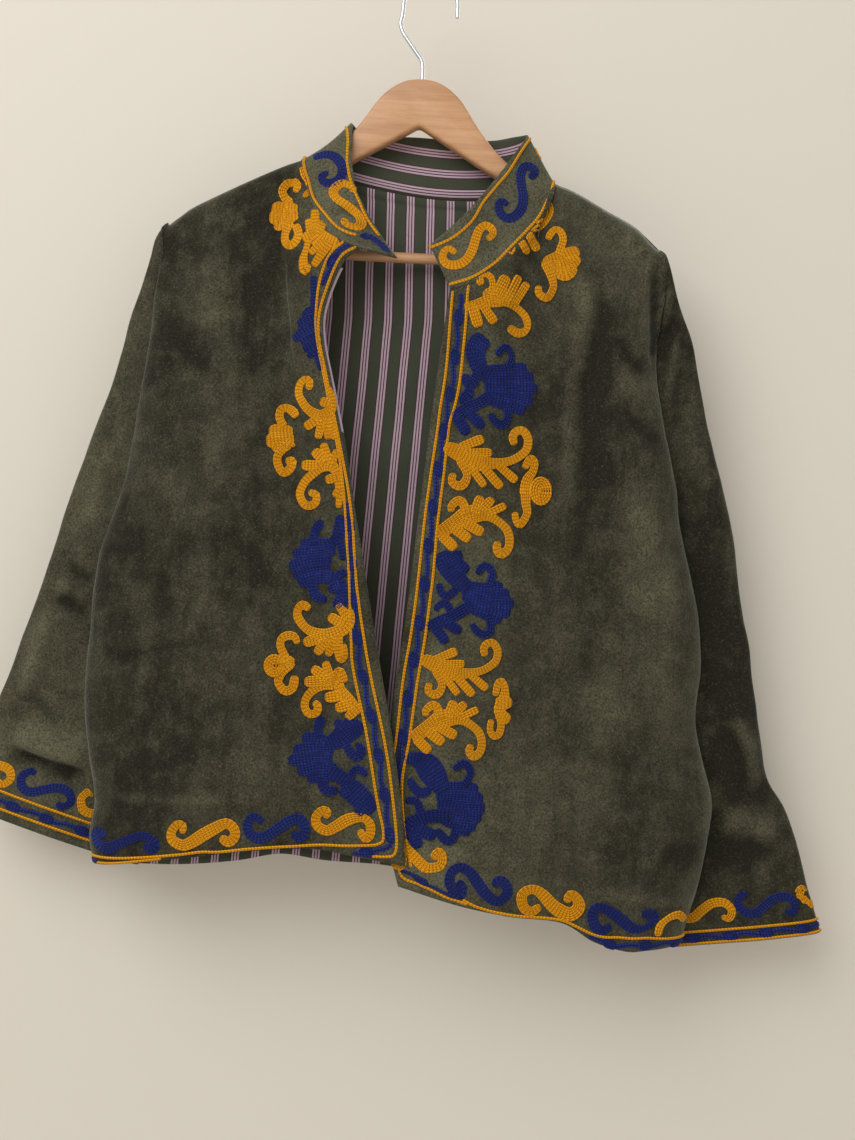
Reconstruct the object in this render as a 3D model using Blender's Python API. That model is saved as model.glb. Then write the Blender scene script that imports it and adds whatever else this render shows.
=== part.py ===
"""A short suzani coat, open at the front, hanging on a wooden hanger.

Frame: +X to the viewer's right, +Y away from the viewer, towards the wall, +Z up. The origin is the
inside of the top of the wire hook, where a rail carries it. Sides are the wearer's, so right_front is on
the viewer's left. Tables and sizes are in millimetres, and each mesh is made in metres.
"""

import math

import bmesh
import bpy
import numpy as np

MM = 0.001

# Cloth
VELVET = 1.6  # wall of the velvet
LINING = 1.0  # wall of the cotton lining
SEAM = 0.3  # free space between two pieces that are sewn together
LAYER = VELVET + SEAM  # from the outside of the velvet to the outside of the lining under it
APART = 1.0  # from a seam line to a cloth's edge where walls meet at an angle and would touch if closer

# How each panel's points are spaced: close together where the cloth rounds over an edge
ACROSS_FRONT = (0, 0.05, 0.12, 0.22, 0.34, 0.46, 0.58, 0.66, 0.74, 0.82, 0.9, 0.96, 1)
HALF_BACK = (0, 0.03, 0.08, 0.15, 0.22, 0.29, 0.36, 0.43)
ACROSS_BACK = (*HALF_BACK, 0.5, *(1 - u for u in HALF_BACK[::-1]))
DOWN_CHEST = (0, 0.004, 0.012, 0.025, 0.05, 0.09, 0.14, 0.2, 0.27, 0.34)
DOWN_BODY = (*DOWN_CHEST, 0.41, 0.48, 0.55, 0.62, 0.7, 0.78, 0.86, 0.93, 1)
ROUND_WRAP = (0, 0.2, 0.38, 0.55, 0.75)  # along the cloth that wraps round the side, seam first
DOWN_SLEEVE = 14
HALF_ROUND_SLEEVE = 9
COLLAR_RISES = (0, 0.04, 0.36, 0.68, 1)
COLLAR_STATIONS = 36
SMOOTH_STEPS = 24  # points worked out between two rows of a table, to make its curve smooth

# How a panel takes its shape from its edges. A share of v or u is a share of the panel's height or width.
TURN_SHARE = 0.025  # of v: the cloth turns from the shoulder seam to the front or the back
FRONT_BULGE = 10.5  # how far the hanger and the shoulder seam push the front out below them
BACK_BULGE = 10  # how far the collar's foot holds the back out below the neck
FRONT_NECK_SHARE = 0.58  # of u: the shoulder seam takes this much of the front's top, and the neck the rest
FRONT_NECK_FADE = (0.48, 0.68)  # of u: the bulge dies out here
BACK_SHOULDER_SHARE = 0.27  # of u: each shoulder seam takes this much of the back's top
BACK_NECK_FADE = (0.2, 0.36)  # of u, from either side: the bulge grows here
CORNER_WIDTH = 0.22  # of u: the corner between shoulder and neck is rounded over this width
CORNER_DEPTH = 0.16  # of v: below this nothing is left of the corner

# How a sleeve leaves the armhole for the shape in its table
SLEEVE_CROWD = 1.3  # over 1, its rings lie closer together near the armhole
ARMHOLE_FADE = 6  # the higher, the sooner it takes the table's shape
SLEEVE_FULL = 0.8  # under 1, its section is fuller than an ellipse
SHOULDER_CLEAR = (1.3, 8)  # more free space at the shoulder end: how much, and how soon it dies out
UNDERARM_CLEAR = (0.5, 8)

# The side of the body from the shoulder tip to the hem, one row for each height.
# z: height. edge: x of the outline. seam: how far in from the outline the armhole or side seam lies,
# behind it. strip: how far in the flat front begins, and rise: how much higher it is there. seam_y, back_y
# and front_y: depths of the front's edge, the back's edge and the start of the flat front.
SIDE_COLUMNS = ("z", "edge", "seam", "strip", "rise", "seam_y", "back_y", "front_y")
RIGHT_SIDE = (
    (-221, -215, 0, 6, 3, -1, 1, -1),
    (-226, -217, 0, 8, 2.5, -9, 9, -9),
    (-238, -218, 1, 12, 1, -10.5, 11, -12),
    (-257, -220, 4, 18, 0, -8, 11, -15),
    (-280, -225, 9, 25, 0, -3, 11.5, -18),
    (-301, -227, 12, 30, 0, 0, 12, -20),
    (-342, -231, 14, 32, 0, 1, 12, -22),
    (-392, -236, 14, 32, 0, 1, 12, -24),
    (-442, -243, 14, 32, 0, 1, 12, -25),
    (-477, -253, 14, 32, 0, 1.5, 11, -25),
    (-498, -259, 14, 32, 0, 3, 5.5, -25),
    (-524, -262, 12, 32, 0, 5, 5, -25),
    (-564, -263, 11, 32, 0, 6, 6, -26),
    (-631, -264, 11, 32, 0, 6, 6, -28),
    (-672, -258, 11, 32, 0, 6, 6, -30),
    (-713, -251, 11, 32, 0, 6, 6, -31),
    (-746, -254, 11, 32, 2, 6, 6, -32),
    (-770, -249, 11, 32, 6, 6, 6, -33),
)
LEFT_SIDE = (
    (-221, 208, 0, 6, 3, -1, 1, -1),
    (-226, 207, -4, 8, 2.5, -9, 9, -9),
    (-238, 202, -10, 12, 1, -10.5, 11, -12),
    (-257, 199, -14, 18, 0, -8, 11, -17),
    (-280, 201, -10, 25, 0, -4, 11.5, -20),
    (-301, 205, -5, 30, 0, -2, 12, -22),
    (-326, 210, 3, 32, 0, 0, 12, -23),
    (-352, 216, 10, 32, 0, 1, 12, -24),
    (-376, 221, 13, 32, 0, 1, 12, -25),
    (-401, 227, 14, 32, 0, 1, 12, -25),
    (-421, 232, 14, 32, 0, 1.5, 11, -25),
    (-441, 235, 14, 32, 0, 3, 5.5, -25),
    (-499, 249, 12, 32, 0, 5, 5, -25),
    (-534, 257, 11, 32, 0, 6, 6, -26),
    (-575, 261, 11, 32, 0, 6, 6, -26),
    (-622, 259, 11, 32, 0, 6, 6, -27),
    (-655, 266, 11, 32, 0, 6, 6, -28),
    (-692, 276, 11, 32, 0, 6, 6, -29),
    (-727, 273, 11, 32, 0, 6, 6, -30),
    (-770, 266, 11, 32, 0, 6, 6, -31),
    (-809, 256, 11, 32, -5, 6, 6, -32),
)
RIGHT_UNDERARM_ROW = 10  # the row of each table where the armhole ends and the side seam starts
LEFT_UNDERARM_ROW = 11

# The shoulder seam from the side table's first row to the neck point: x, z
RIGHT_SHOULDER = ((-197, -207), (-178, -196), (-147, -179.7), (-119, -166))
LEFT_SHOULDER = ((186, -203), (160, -189.5), (133, -175.5))

# The collar from its right front end round the back of the neck to its left one. Each row is one straight
# line across the band: its foot, on the neck seam, and its top.
COLLAR_COLUMNS = ("foot_x", "foot_y", "foot_z", "top_x", "top_y", "top_z")
COLLAR = (
    (-47, -36, -241, -17, -20, -244),
    (-63, -34.5, -235, -28, -18, -230),
    (-75, -31, -226, -38, -18, -216),
    (-84, -26, -212, -48, -18, -200),
    (-94, -18, -193, -56, -17, -183),
    (-100, -12, -175, -60, -16, -161),
    (-102, -8, -164, -61, -14, -147),
    (-101, 0, -158.5, -62, -10, -134),
    (-96, 8, -161, -63, 1, -125),
    (-82, 12, -167, -60, 11, -126),
    (-54, 14, -175, -44, 16, -131),
    (-9, 15, -182, -7, 18, -130),
    (30, 15, -184, 30, 18, -131),
    (70, 14, -181, 60, 16, -130),
    (99, 11, -174, 80, 10, -127),
    (113, 0, -168, 89, 0, -128),
    (113, -8, -174, 86, -6, -135),
    (110, -12, -185, 80, -11, -145),
    (103, -18, -203, 71, -15, -160),
    (92, -25, -219, 61, -19, -175),
    (80, -30, -234, 51, -22, -189),
    (66, -33, -250, 41, -24, -202),
    (48, -35, -263, 26, -25, -218),
    (29, -36, -270, 10, -24, -233),
)
RIGHT_NECK_ROW = 7
LEFT_NECK_ROW = 15
COLLAR_FOOT_CLEAR = 1.5  # from its foot line up to the collar's lower edge
NECK_BELOW = 1.1  # from the foot line down to the upper edges of the fronts and the back

# Each front's open edge from the end of the collar to the hem: x, y, z
RIGHT_OPEN_EDGE = (
    (-60, -36, -253),
    (-70, -35, -277),
    (-75, -35, -300),
    (-73, -36, -322),
    (-66, -38, -350),
    (-56, -40, -390),
    (-46, -43, -432),
    (-36, -46, -476),
    (-20, -50, -552),
    (0, -54, -640),
    (8, -56, -680),
    (14, -57, -720),
    (17, -58, -748),
)
LEFT_OPEN_EDGE = (
    (27, -35, -289),
    (24, -34, -322),
    (18, -33, -392),
    (12, -36, -474),
    (8, -39, -530),
    (5, -40, -564),
    (1, -42, -598),
    (-2, -45, -647),
    (-6, -46, -683),
    (-1, -47, -725),
    (7, -49, -751),
    (12, -49, -767),
)

# Each hem, from the side to the open edge, and the back's from right to left: x, y, z
RIGHT_HEM = ((-169, -42, -755), (-111, -46, -745), (-62, -49, -740), (-28, -53, -743))
LEFT_HEM = (
    (204, -39, -814),
    (176, -43, -806),
    (148, -45, -791),
    (104, -49, -787),
    (58, -50, -779),
)
BACK_HEM = (
    (-181, 11, -772),
    (-130, 10, -766),
    (-92, 7, -757.5),
    (-55, 9, -761),
    (0, 10, -763),
    (60, 10, -771),
    (120, 10, -781),
    (180, 10, -793),
    (225, 9, -803),
)
BACK_HEM_RISE = -2  # the back's hem at the side seams, below the front's

# The sleeves from just below the armhole to the cuff. outer and inner: the two long edges of the
# flattened tube. half: half its thickness between them.
SLEEVE_COLUMNS = ("outer_x", "outer_y", "outer_z", "inner_x", "inner_y", "inner_z", "half")
RIGHT_SLEEVE = (
    (-228, 1, -230, -247, 12, -512, 9),
    (-235, 3, -246, -249, 17, -524, 11),
    (-236, 5, -268, -250, 20, -540, 12),
    (-243, 7, -294, -251, 22, -556, 13),
    (-252, 9, -326, -251.5, 24, -572, 13),
    (-259, 10, -358, -251.5, 26, -588, 13),
    (-278, 13, -417, -251, 27, -606, 14),
    (-295, 15, -471, -247.5, 28, -632, 14),
    (-308, 16, -520, -241, 28, -658, 14),
    (-323, 17, -568, -233, 28, -685, 14),
    (-336, 18, -609, -227, 28, -710, 14),
    (-350, 18, -650, -222, 28, -735, 14),
    (-375.6, 20, -729.5, -218, 27, -778, 13),
)
LEFT_SLEEVE = (
    (217, 1, -233, 224, 12, -456, 9),
    (222, 3, -247, 227, 17, -472, 11),
    (231, 5, -272, 229, 20, -490, 12),
    (241, 7, -300, 230, 22, -508, 13),
    (253, 9, -330, 230.5, 24, -528, 13),
    (262, 11, -368, 230, 26, -550, 13),
    (271, 13, -408, 229, 27, -574, 14),
    (287, 15, -458, 228, 28, -604, 14),
    (294, 16, -497, 227, 28, -632, 14),
    (301, 17, -534, 225, 28, -660, 14),
    (309, 18, -565, 224, 28, -688, 14),
    (315, 19, -605, 222, 28, -720, 14),
    (328, 20, -668, 220, 28, -768, 14),
    (350, 20, -708, 218, 28, -796, 14),
    (381, 20, -804, 217, 27, -828, 13),
)

# The hanger's outline on one side of its middle: out from the middle, top and bottom z
HANGER_MIDDLE = -4
HANGER_THICK = 12
HANGER_ROUND = 2.5
HANGER_SHARP = 50  # edges sharper than this many degrees are rounded
HANGER_COLUMNS = ("out", "top", "bottom")
HANGER = (
    (0, -86, -127),
    (12, -87.5, -134),
    (24, -93.5, -141.2),
    (35, -103.5, -147.8),
    (45, -118, -153.8),
    (52, -128, -158),
    (62, -140, -164),
    (74, -152, -171.2),
    (88, -162.2, -179.6),
    (104, -173.6, -189.2),
    (130, -185, -204.8),
    (160, -199, -222.8),
    (185, -212, -237.8),
    (200, -221, -247),
    (208, -226.5, -247.5),
    (212, -232, -243),
)
BAR_Z = -239
BAR_RADIUS = 4.5
BAR_HALF_LENGTH = 200
ROD_SIDES = 20
WIRE_RADIUS = 1.75
STEM_HOLE_HALF = 15  # half the length of the cutter for the wire's hole, longer than the wood above it
HOOK_RADIUS = 23.3
HOOK_TIP_DROP = 9  # the wire goes straight down this far at the hook's open end
HOOK_STEP = 12  # degrees between two points of its round
# The wire from the round down to the wood, x and z
HOOK_STEM = (
    (-23.8, -31),
    (-25, -38),
    (-22.8, -45),
    (-18, -52),
    (-9.6, -63),
    (-5.4, -69),
    (-4, -76),
    (-4, -88),
)
STEM_POINTS = 22
HOOK_FOOT = -104  # the wire's end inside the wood

COLOURS = {
    "velvet": ((0.062, 0.066, 0.047), 0.9, 0),
    "lining": ((0.075, 0.095, 0.046), 0.85, 0),
    "beech": ((0.58, 0.36, 0.19), 0.45, 0),
    "steel": ((0.75, 0.75, 0.76), 0.2, 1),
}


def clear_scene():
    for obj in list(bpy.data.objects):
        bpy.data.objects.remove(obj, do_unlink=True)


def material(name):
    colour, roughness, metallic = COLOURS[name]
    found = bpy.data.materials.get(name) or bpy.data.materials.new(name)
    found.use_nodes = True
    shader = found.node_tree.nodes["Principled BSDF"]
    shader.inputs["Base Color"].default_value = (*colour, 1)
    shader.inputs["Roughness"].default_value = roughness
    shader.inputs["Metallic"].default_value = metallic
    return found


def named(columns, row):
    return dict(zip(columns, row))


def smooth_line(points):
    """A function from 0 to 1 along a smooth curve through points, even in length."""
    points = np.array(points, float)
    ends = np.vstack([2 * points[0] - points[1], points, 2 * points[-1] - points[-2]])
    curve = []
    for i in range(1, len(ends) - 2):
        before, start, stop, after = ends[i - 1 : i + 3]
        for t in np.arange(SMOOTH_STEPS) / SMOOTH_STEPS:
            bend = (2 * before - 5 * start + 4 * stop - after) * t**2
            turn = (3 * start - before - 3 * stop + after) * t**3
            curve.append(start + (stop - before) * t / 2 + (bend + turn) / 2)
    curve = np.array([*curve, points[-1]])
    length = np.concatenate([[0], np.cumsum(np.linalg.norm(np.diff(curve, axis=0), axis=1))])
    return lambda share: np.array([np.interp(share * length[-1], length, axis) for axis in curve.T])


def smooth_column(heights, values):
    """A function of height through one column of a table, smooth at the rows."""
    heights, values = np.array(heights, float), np.array(values, float)
    slopes = np.gradient(values, heights)

    def value(height):
        k = int(np.clip(np.searchsorted(-heights, -height) - 1, 0, len(heights) - 2))
        gap = heights[k + 1] - heights[k]
        t = (height - heights[k]) / gap
        start = (1 + 2 * t) * (1 - t) ** 2 * values[k] + t * (1 - t) ** 2 * gap * slopes[k]
        stop = t * t * (3 - 2 * t) * values[k + 1] + t * t * (t - 1) * gap * slopes[k + 1]
        return start + stop

    return value


def quarter_round(share):
    """Rises from 0 to 1 like a quarter of a circle, steepest at the start."""
    share = min(max(share, 0), 1)
    return math.sqrt(share * (2 - share))


def smooth_step(start, stop, value):
    share = min(max((value - start) / (stop - start), 0), 1)
    return share * share * (3 - 2 * share)


class Side:
    """One side of the body, where front, back and sleeve meet. inward: +1 where the middle has more x."""

    def __init__(self, rows, inward, underarm_row):
        rows = [named(SIDE_COLUMNS, row) for row in rows]
        heights = [row["z"] for row in rows]
        self.inward = inward
        self.top, self.bottom = heights[0], heights[-1]
        self.underarm = (heights[underarm_row] - self.top) / (self.bottom - self.top)
        self.column = {}
        for name in SIDE_COLUMNS[1:]:
            self.column[name] = smooth_column(heights, [row[name] for row in rows])

    def at(self, v, inset, depth, rise=False):
        z = self.top + (self.bottom - self.top) * v
        found = {name: column(z) for name, column in self.column.items()}
        x = found["edge"] + (self.inward * found[inset] if inset else 0)
        return np.array([x, found[depth] if depth else 0, z + (found["rise"] if rise else 0)])

    def seam(self, v):
        return self.at(v, "seam", "seam_y")

    def back(self, v):
        return self.at(v, "seam", "back_y")

    def flat(self, v):
        return self.at(v, "strip", "front_y", rise=True)

    def edge(self, v):
        return self.at(v, None, None)


SIDES = {
    "right": Side(RIGHT_SIDE, 1, RIGHT_UNDERARM_ROW),
    "left": Side(LEFT_SIDE, -1, LEFT_UNDERARM_ROW),
}
NECK_SEAM = [(x, y, z - NECK_BELOW) for x, y, z, *_ in COLLAR]


def without_corner(curve, corner, u):
    """The curve's point with its corner rounded: a mean over a width that is 0 at both ends."""
    reach = CORNER_WIDTH * max(1 - abs(u - corner) / min(corner, 1 - corner), 0)
    return np.mean([curve(u + reach * offset) for offset in np.linspace(-1, 1, 9)], axis=0)


def patch(top, corners, bottom, start, stop):
    """A sheet between four curves, as a function of u across and v down. corners: those of top, in u."""

    def point(u, v):
        highest = top(u)
        keep = 1 - smooth_step(0, CORNER_DEPTH, v)
        for corner in corners:
            highest = highest + (1 - keep) * (without_corner(top, corner, u) - top(u))
        sides = (1 - u) * start(v) + u * stop(v)
        ends = (1 - v) * highest + v * bottom(u)
        upper = (1 - u) * start(0) + u * stop(0)
        lower = (1 - u) * start(1) + u * stop(1)
        return sides + ends - (1 - v) * upper - v * lower

    return point


def front_panel(name):
    """The front as a function of u, from 0 at the side to 1 at the open edge, and v, from 0 down to 1."""
    side = SIDES[name]
    right = name == "right"
    feet = NECK_SEAM[RIGHT_NECK_ROW::-1] if right else NECK_SEAM[LEFT_NECK_ROW:]
    shoulder = RIGHT_SHOULDER if right else LEFT_SHOULDER
    shoulder = [side.flat(0), *((x, -APART, z) for x, z in shoulder), (feet[0][0], -APART, feet[0][2])]
    shoulder, neck = smooth_line(shoulder), smooth_line([shoulder[-1], *feet[1:]])
    open_edge = smooth_line([feet[-1], *(RIGHT_OPEN_EDGE if right else LEFT_OPEN_EDGE)])
    hem = smooth_line([side.flat(1), *(RIGHT_HEM if right else LEFT_HEM), open_edge(1)])

    def top(u):
        if u < FRONT_NECK_SHARE:
            return shoulder(u / FRONT_NECK_SHARE)
        return neck((u - FRONT_NECK_SHARE) / (1 - FRONT_NECK_SHARE))

    sheet = patch(top, (FRONT_NECK_SHARE,), hem, side.flat, open_edge)

    def point(u, v):
        found = sheet(u, v)
        out = quarter_round(v / TURN_SHARE) * (1 - v) * u * (1 - smooth_step(*FRONT_NECK_FADE, u))
        found[1] -= FRONT_BULGE * out
        return found

    return point


def wrap_point(name, panel, share, v):
    """The front where it turns round the side: share from 0 at the seam behind to 1 at the flat front.

    It is a curve with two handles, which lie so far past the outline that the curve just reaches it.
    """
    side = SIDES[name]
    seam, flat, edge = side.seam(v), panel(0, v), side.edge(v)
    along = panel(0.02, v) - flat
    along = along / np.linalg.norm(along)
    past = side.inward * (seam[0] - edge[0] + flat[0] - edge[0]) / 6
    handle_x = edge[0] - side.inward * max(past, 0.5)
    seam_handle = np.array([handle_x, seam[1], seam[2]])
    flat_handle = flat - along * abs(flat[0] - handle_x)
    rest = 1 - share
    ends = rest**3 * seam + share**3 * flat
    return ends + 3 * rest * share * (rest * seam_handle + share * flat_handle)


def back_panel():
    """The back as a function of u, from the right side to the left, and v down."""
    right, left = SIDES["right"], SIDES["left"]
    feet = NECK_SEAM[RIGHT_NECK_ROW : LEFT_NECK_ROW + 1]

    def border(side):
        return lambda v: side.back(v) + (side.inward * APART, 0, BACK_HEM_RISE * v)

    right_neck, left_neck = [(x, APART, z) for x, _, z in (feet[0], feet[-1])]
    starts = [border(right)(0), *((x, APART, z) for x, z in RIGHT_SHOULDER), right_neck]
    stops = [left_neck, *((x, APART, z) for x, z in LEFT_SHOULDER[::-1]), border(left)(0)]
    start, stop = smooth_line(starts), smooth_line(stops)
    neck = smooth_line([right_neck, *feet[1:-1], left_neck])
    hem = smooth_line([border(right)(1), *BACK_HEM, border(left)(1)])

    def top(u):
        if u < BACK_SHOULDER_SHARE:
            return start(u / BACK_SHOULDER_SHARE)
        if u > 1 - BACK_SHOULDER_SHARE:
            return stop((u - 1) / BACK_SHOULDER_SHARE + 1)
        return neck((u - BACK_SHOULDER_SHARE) / (1 - 2 * BACK_SHOULDER_SHARE))

    sheet = patch(top, (), hem, border(right), border(left))

    def point(u, v):
        found = sheet(u, v)
        out = quarter_round(v / TURN_SHARE) * (1 - v) * smooth_step(*BACK_NECK_FADE, min(u, 1 - u))
        found[1] -= BACK_BULGE * out
        return found

    return point


def grid_of(point, across, down):
    return np.array([[point(u, v) for u in across] for v in down])


def cloth(name, grid, wall, look, turned=False, closed=False):
    """A panel with its outside on the grid. turned: faces the other way. closed: its rows are rings."""
    rows, columns = grid.shape[:2]
    mesh = bpy.data.meshes.new(name)
    faces = []
    for i in range(rows - 1):
        for j in range(columns if closed else columns - 1):
            k = (j + 1) % columns
            upper, lower = i * columns, (i + 1) * columns
            corners = (upper + j, upper + k, lower + k, lower + j)
            faces.append(corners if turned else corners[::-1])
    mesh.from_pydata([tuple(MM * p) for p in grid.reshape(-1, 3)], [], faces)
    mesh.materials.append(material(look))
    mesh.shade_smooth()
    obj = bpy.data.objects.new(name, mesh)
    bpy.context.collection.objects.link(obj)
    solid = obj.modifiers.new("wall", "SOLIDIFY")
    solid.thickness = MM * wall
    solid.offset = -1
    return obj


def under(panel, grid, rows, columns):
    """Some rows and columns of a panel's points, moved in by its wall and the space under it."""
    normals = np.array([vertex.normal for vertex in panel.data.vertices]).reshape(grid.shape)
    return (grid - LAYER * normals)[rows, columns]


def make_front(name):
    panel = front_panel(name)
    turned = name == "left"
    wraps = [[wrap_point(name, panel, share, v) for share in ROUND_WRAP] for v in DOWN_BODY]
    grid = np.concatenate([np.array(wraps), grid_of(panel, ACROSS_FRONT, DOWN_BODY)], axis=1)
    front = cloth(name + "_front", grid, VELVET, "velvet", turned=turned)
    inside = under(front, grid, slice(3, -1), slice(len(ROUND_WRAP) + 1, None))
    cloth(name + "_front_lining", inside, LINING, "lining", turned=turned)


def make_back():
    grid = grid_of(back_panel(), ACROSS_BACK, DOWN_BODY)
    back = cloth("back", grid, VELVET, "velvet", turned=True)
    inside = under(back, grid, slice(2, None), slice(1, -1))
    cloth("back_lining", inside, LINING, "lining", turned=True)


def make_collar():
    line = smooth_line(COLLAR)
    grid = []
    for rise in COLLAR_RISES:
        row = []
        for k in range(COLLAR_STATIONS + 1):
            low, high = np.split(line(k / COLLAR_STATIONS), 2)
            low = low + (high - low) * COLLAR_FOOT_CLEAR / np.linalg.norm(high - low)
            row.append(low + (high - low) * rise)
        grid.append(row)
    grid = np.array(grid)
    collar = cloth("collar", grid, VELVET, "velvet")
    inside = under(collar, grid, slice(1, None), slice(1, -1))
    cloth("collar_lining", inside, LINING, "lining")


def make_sleeve(name):
    side = SIDES[name]
    table = RIGHT_SLEEVE if name == "right" else LEFT_SLEEVE
    rows = [named(SLEEVE_COLUMNS, row) for row in table]
    start = (side.seam(0) + side.back(0)) / 2
    stop = (side.seam(side.underarm) + side.back(side.underarm)) / 2
    outer = smooth_line([start, *((r["outer_x"], r["outer_y"], r["outer_z"]) for r in rows)])
    inner = smooth_line([stop, *((r["inner_x"], r["inner_y"], r["inner_z"]) for r in rows)])
    halves = [0, *(r["half"] for r in rows)]
    grid = []
    for i in range(DOWN_SLEEVE + 1):
        t = (i / DOWN_SLEEVE) ** SLEEVE_CROWD
        low, high = outer(t), inner(t)
        half = np.interp(t * len(rows), range(len(rows) + 1), halves)
        fade = (1 - t) ** ARMHOLE_FADE
        ring = []
        for k in range(2 * HALF_ROUND_SLEEVE):
            angle = math.pi * k / HALF_ROUND_SLEEVE
            share = (1 - math.cos(angle)) / 2
            front = k < HALF_ROUND_SLEEVE
            plain = low + (high - low) * share
            plain[1] += (-half if front else half) * abs(math.sin(angle)) ** SLEEVE_FULL
            edge = (side.seam if front else side.back)(share * side.underarm)
            more = SHOULDER_CLEAR[0] * (1 - share) ** SHOULDER_CLEAR[1]
            more += UNDERARM_CLEAR[0] * share ** UNDERARM_CLEAR[1]
            clear = APART * (1 + more)
            edge = edge + (-side.inward * clear, APART if front else 0, 0)
            ring.append(plain * (1 - fade) + edge * fade)
        grid.append(ring)
    cloth(name + "_sleeve", np.array(grid), VELVET, "velvet", turned=name == "left", closed=True)


def make_hanger():
    rows = [named(HANGER_COLUMNS, row) for row in HANGER]
    right_half = [(HANGER_MIDDLE + r["out"], r["top"]) for r in rows]
    right_half += [(HANGER_MIDDLE + r["out"], r["bottom"]) for r in rows[::-1]]
    left_half = [(2 * HANGER_MIDDLE - x, z) for x, z in right_half[::-1]]
    outline = right_half + left_half[1:-1]
    bm = bmesh.new()
    corners = [bm.verts.new((x * MM, -HANGER_THICK / 2 * MM, z * MM)) for x, z in outline]
    face = bm.faces.new(corners)
    made = bmesh.ops.extrude_face_region(bm, geom=[face])
    moved = [v for v in made["geom"] if isinstance(v, bmesh.types.BMVert)]
    bmesh.ops.translate(bm, verts=moved, vec=(0, HANGER_THICK * MM, 0))
    bmesh.ops.recalc_face_normals(bm, faces=bm.faces)
    mesh = bpy.data.meshes.new("hanger_body")
    bm.to_mesh(mesh)
    bm.free()
    mesh.materials.append(material("beech"))
    obj = bpy.data.objects.new("hanger_body", mesh)
    bpy.context.collection.objects.link(obj)
    rounded = obj.modifiers.new("round", "BEVEL")
    rounded.width = HANGER_ROUND * MM
    rounded.segments = 2
    rounded.limit_method = "ANGLE"
    rounded.angle_limit = math.radians(HANGER_SHARP)
    bar_place = (HANGER_MIDDLE, BAR_Z)
    stem_place = (HANGER_MIDDLE, HOOK_FOOT - SEAM + STEM_HOLE_HALF)
    bar_hole = rod("bar_hole", BAR_RADIUS + SEAM, BAR_HALF_LENGTH + SEAM, "X", bar_place)
    stem_hole = rod("stem_hole", WIRE_RADIUS + SEAM, STEM_HOLE_HALF, "Z", stem_place)
    for hole in (bar_hole, stem_hole):
        hole.hide_render = True
        hole.display_type = "WIRE"
        cut = obj.modifiers.new("cut", "BOOLEAN")
        cut.object = hole
        cut.operation = "DIFFERENCE"
    bar = rod("hanger_bar", BAR_RADIUS, BAR_HALF_LENGTH, "X", bar_place)
    bar.data.materials.append(material("beech"))
    bar.data.shade_smooth()
    bar.data.set_sharp_from_angle(angle=math.radians(HANGER_SHARP))


def rod(name, radius, half_length, axis, place):
    """A round rod along the given axis, with its middle at the x and z of place."""
    bm = bmesh.new()
    bmesh.ops.create_cone(
        bm,
        cap_ends=True,
        segments=ROD_SIDES,
        radius1=radius * MM,
        radius2=radius * MM,
        depth=2 * half_length * MM,
    )
    mesh = bpy.data.meshes.new(name)
    bm.to_mesh(mesh)
    bm.free()
    obj = bpy.data.objects.new(name, mesh)
    bpy.context.collection.objects.link(obj)
    obj.location = (place[0] * MM, 0, place[1] * MM)
    if axis == "X":
        obj.rotation_euler = (0, math.pi / 2, 0)
    return obj


def make_hook():
    centre = WIRE_RADIUS - HOOK_RADIUS
    route = [(HOOK_RADIUS, centre - HOOK_TIP_DROP)]
    for degrees in range(0, 181, HOOK_STEP):
        angle = math.radians(degrees)
        route.append((HOOK_RADIUS * math.cos(angle), centre + HOOK_RADIUS * math.sin(angle)))
    stem = smooth_line([route[-1], *HOOK_STEM])
    route += [tuple(stem((k + 1) / STEM_POINTS)) for k in range(STEM_POINTS)]
    route.append((HANGER_MIDDLE, HOOK_FOOT))
    curve = bpy.data.curves.new("hanger_hook", "CURVE")
    curve.dimensions = "3D"
    curve.bevel_depth = WIRE_RADIUS * MM
    curve.bevel_resolution = 3
    curve.use_fill_caps = True
    spline = curve.splines.new("POLY")
    spline.points.add(len(route) - 1)
    for point, (x, z) in zip(spline.points, route):
        point.co = (x * MM, 0, z * MM, 1)
    curve.materials.append(material("steel"))
    obj = bpy.data.objects.new("hanger_hook", curve)
    bpy.context.collection.objects.link(obj)


clear_scene()
make_hanger()
make_hook()
make_back()
make_front("right")
make_front("left")
make_sleeve("right")
make_sleeve("left")
make_collar()
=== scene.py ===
# %% [markdown]
# # A short suzani coat on its hanger
# The coat is cut from olive velvet, lined with striped cotton and worked all along its edges in chain
# stitch. It hangs open on a wooden hanger, against a pale wall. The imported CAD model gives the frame:
# every piece made here stands where its CAD solid stands, and looks like the real cloth, thread, wood or
# wire.

import math

import bpy
import numpy as np
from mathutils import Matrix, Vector, noise


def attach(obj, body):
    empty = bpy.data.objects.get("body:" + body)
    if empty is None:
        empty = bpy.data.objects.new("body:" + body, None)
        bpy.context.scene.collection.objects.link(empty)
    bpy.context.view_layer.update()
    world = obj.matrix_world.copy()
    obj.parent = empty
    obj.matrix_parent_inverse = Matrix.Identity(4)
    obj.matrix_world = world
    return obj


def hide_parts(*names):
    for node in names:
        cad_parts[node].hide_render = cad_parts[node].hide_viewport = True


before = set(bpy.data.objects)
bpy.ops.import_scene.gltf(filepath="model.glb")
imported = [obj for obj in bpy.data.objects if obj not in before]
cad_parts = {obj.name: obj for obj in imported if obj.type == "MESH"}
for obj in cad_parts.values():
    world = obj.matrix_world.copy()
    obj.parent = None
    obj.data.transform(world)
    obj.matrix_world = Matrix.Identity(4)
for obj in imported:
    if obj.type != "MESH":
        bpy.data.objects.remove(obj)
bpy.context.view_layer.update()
bpy.ops.object.select_all(action="DESELECT")
MM = 0.001
print("CAD nodes:", ", ".join(sorted(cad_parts)))


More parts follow.
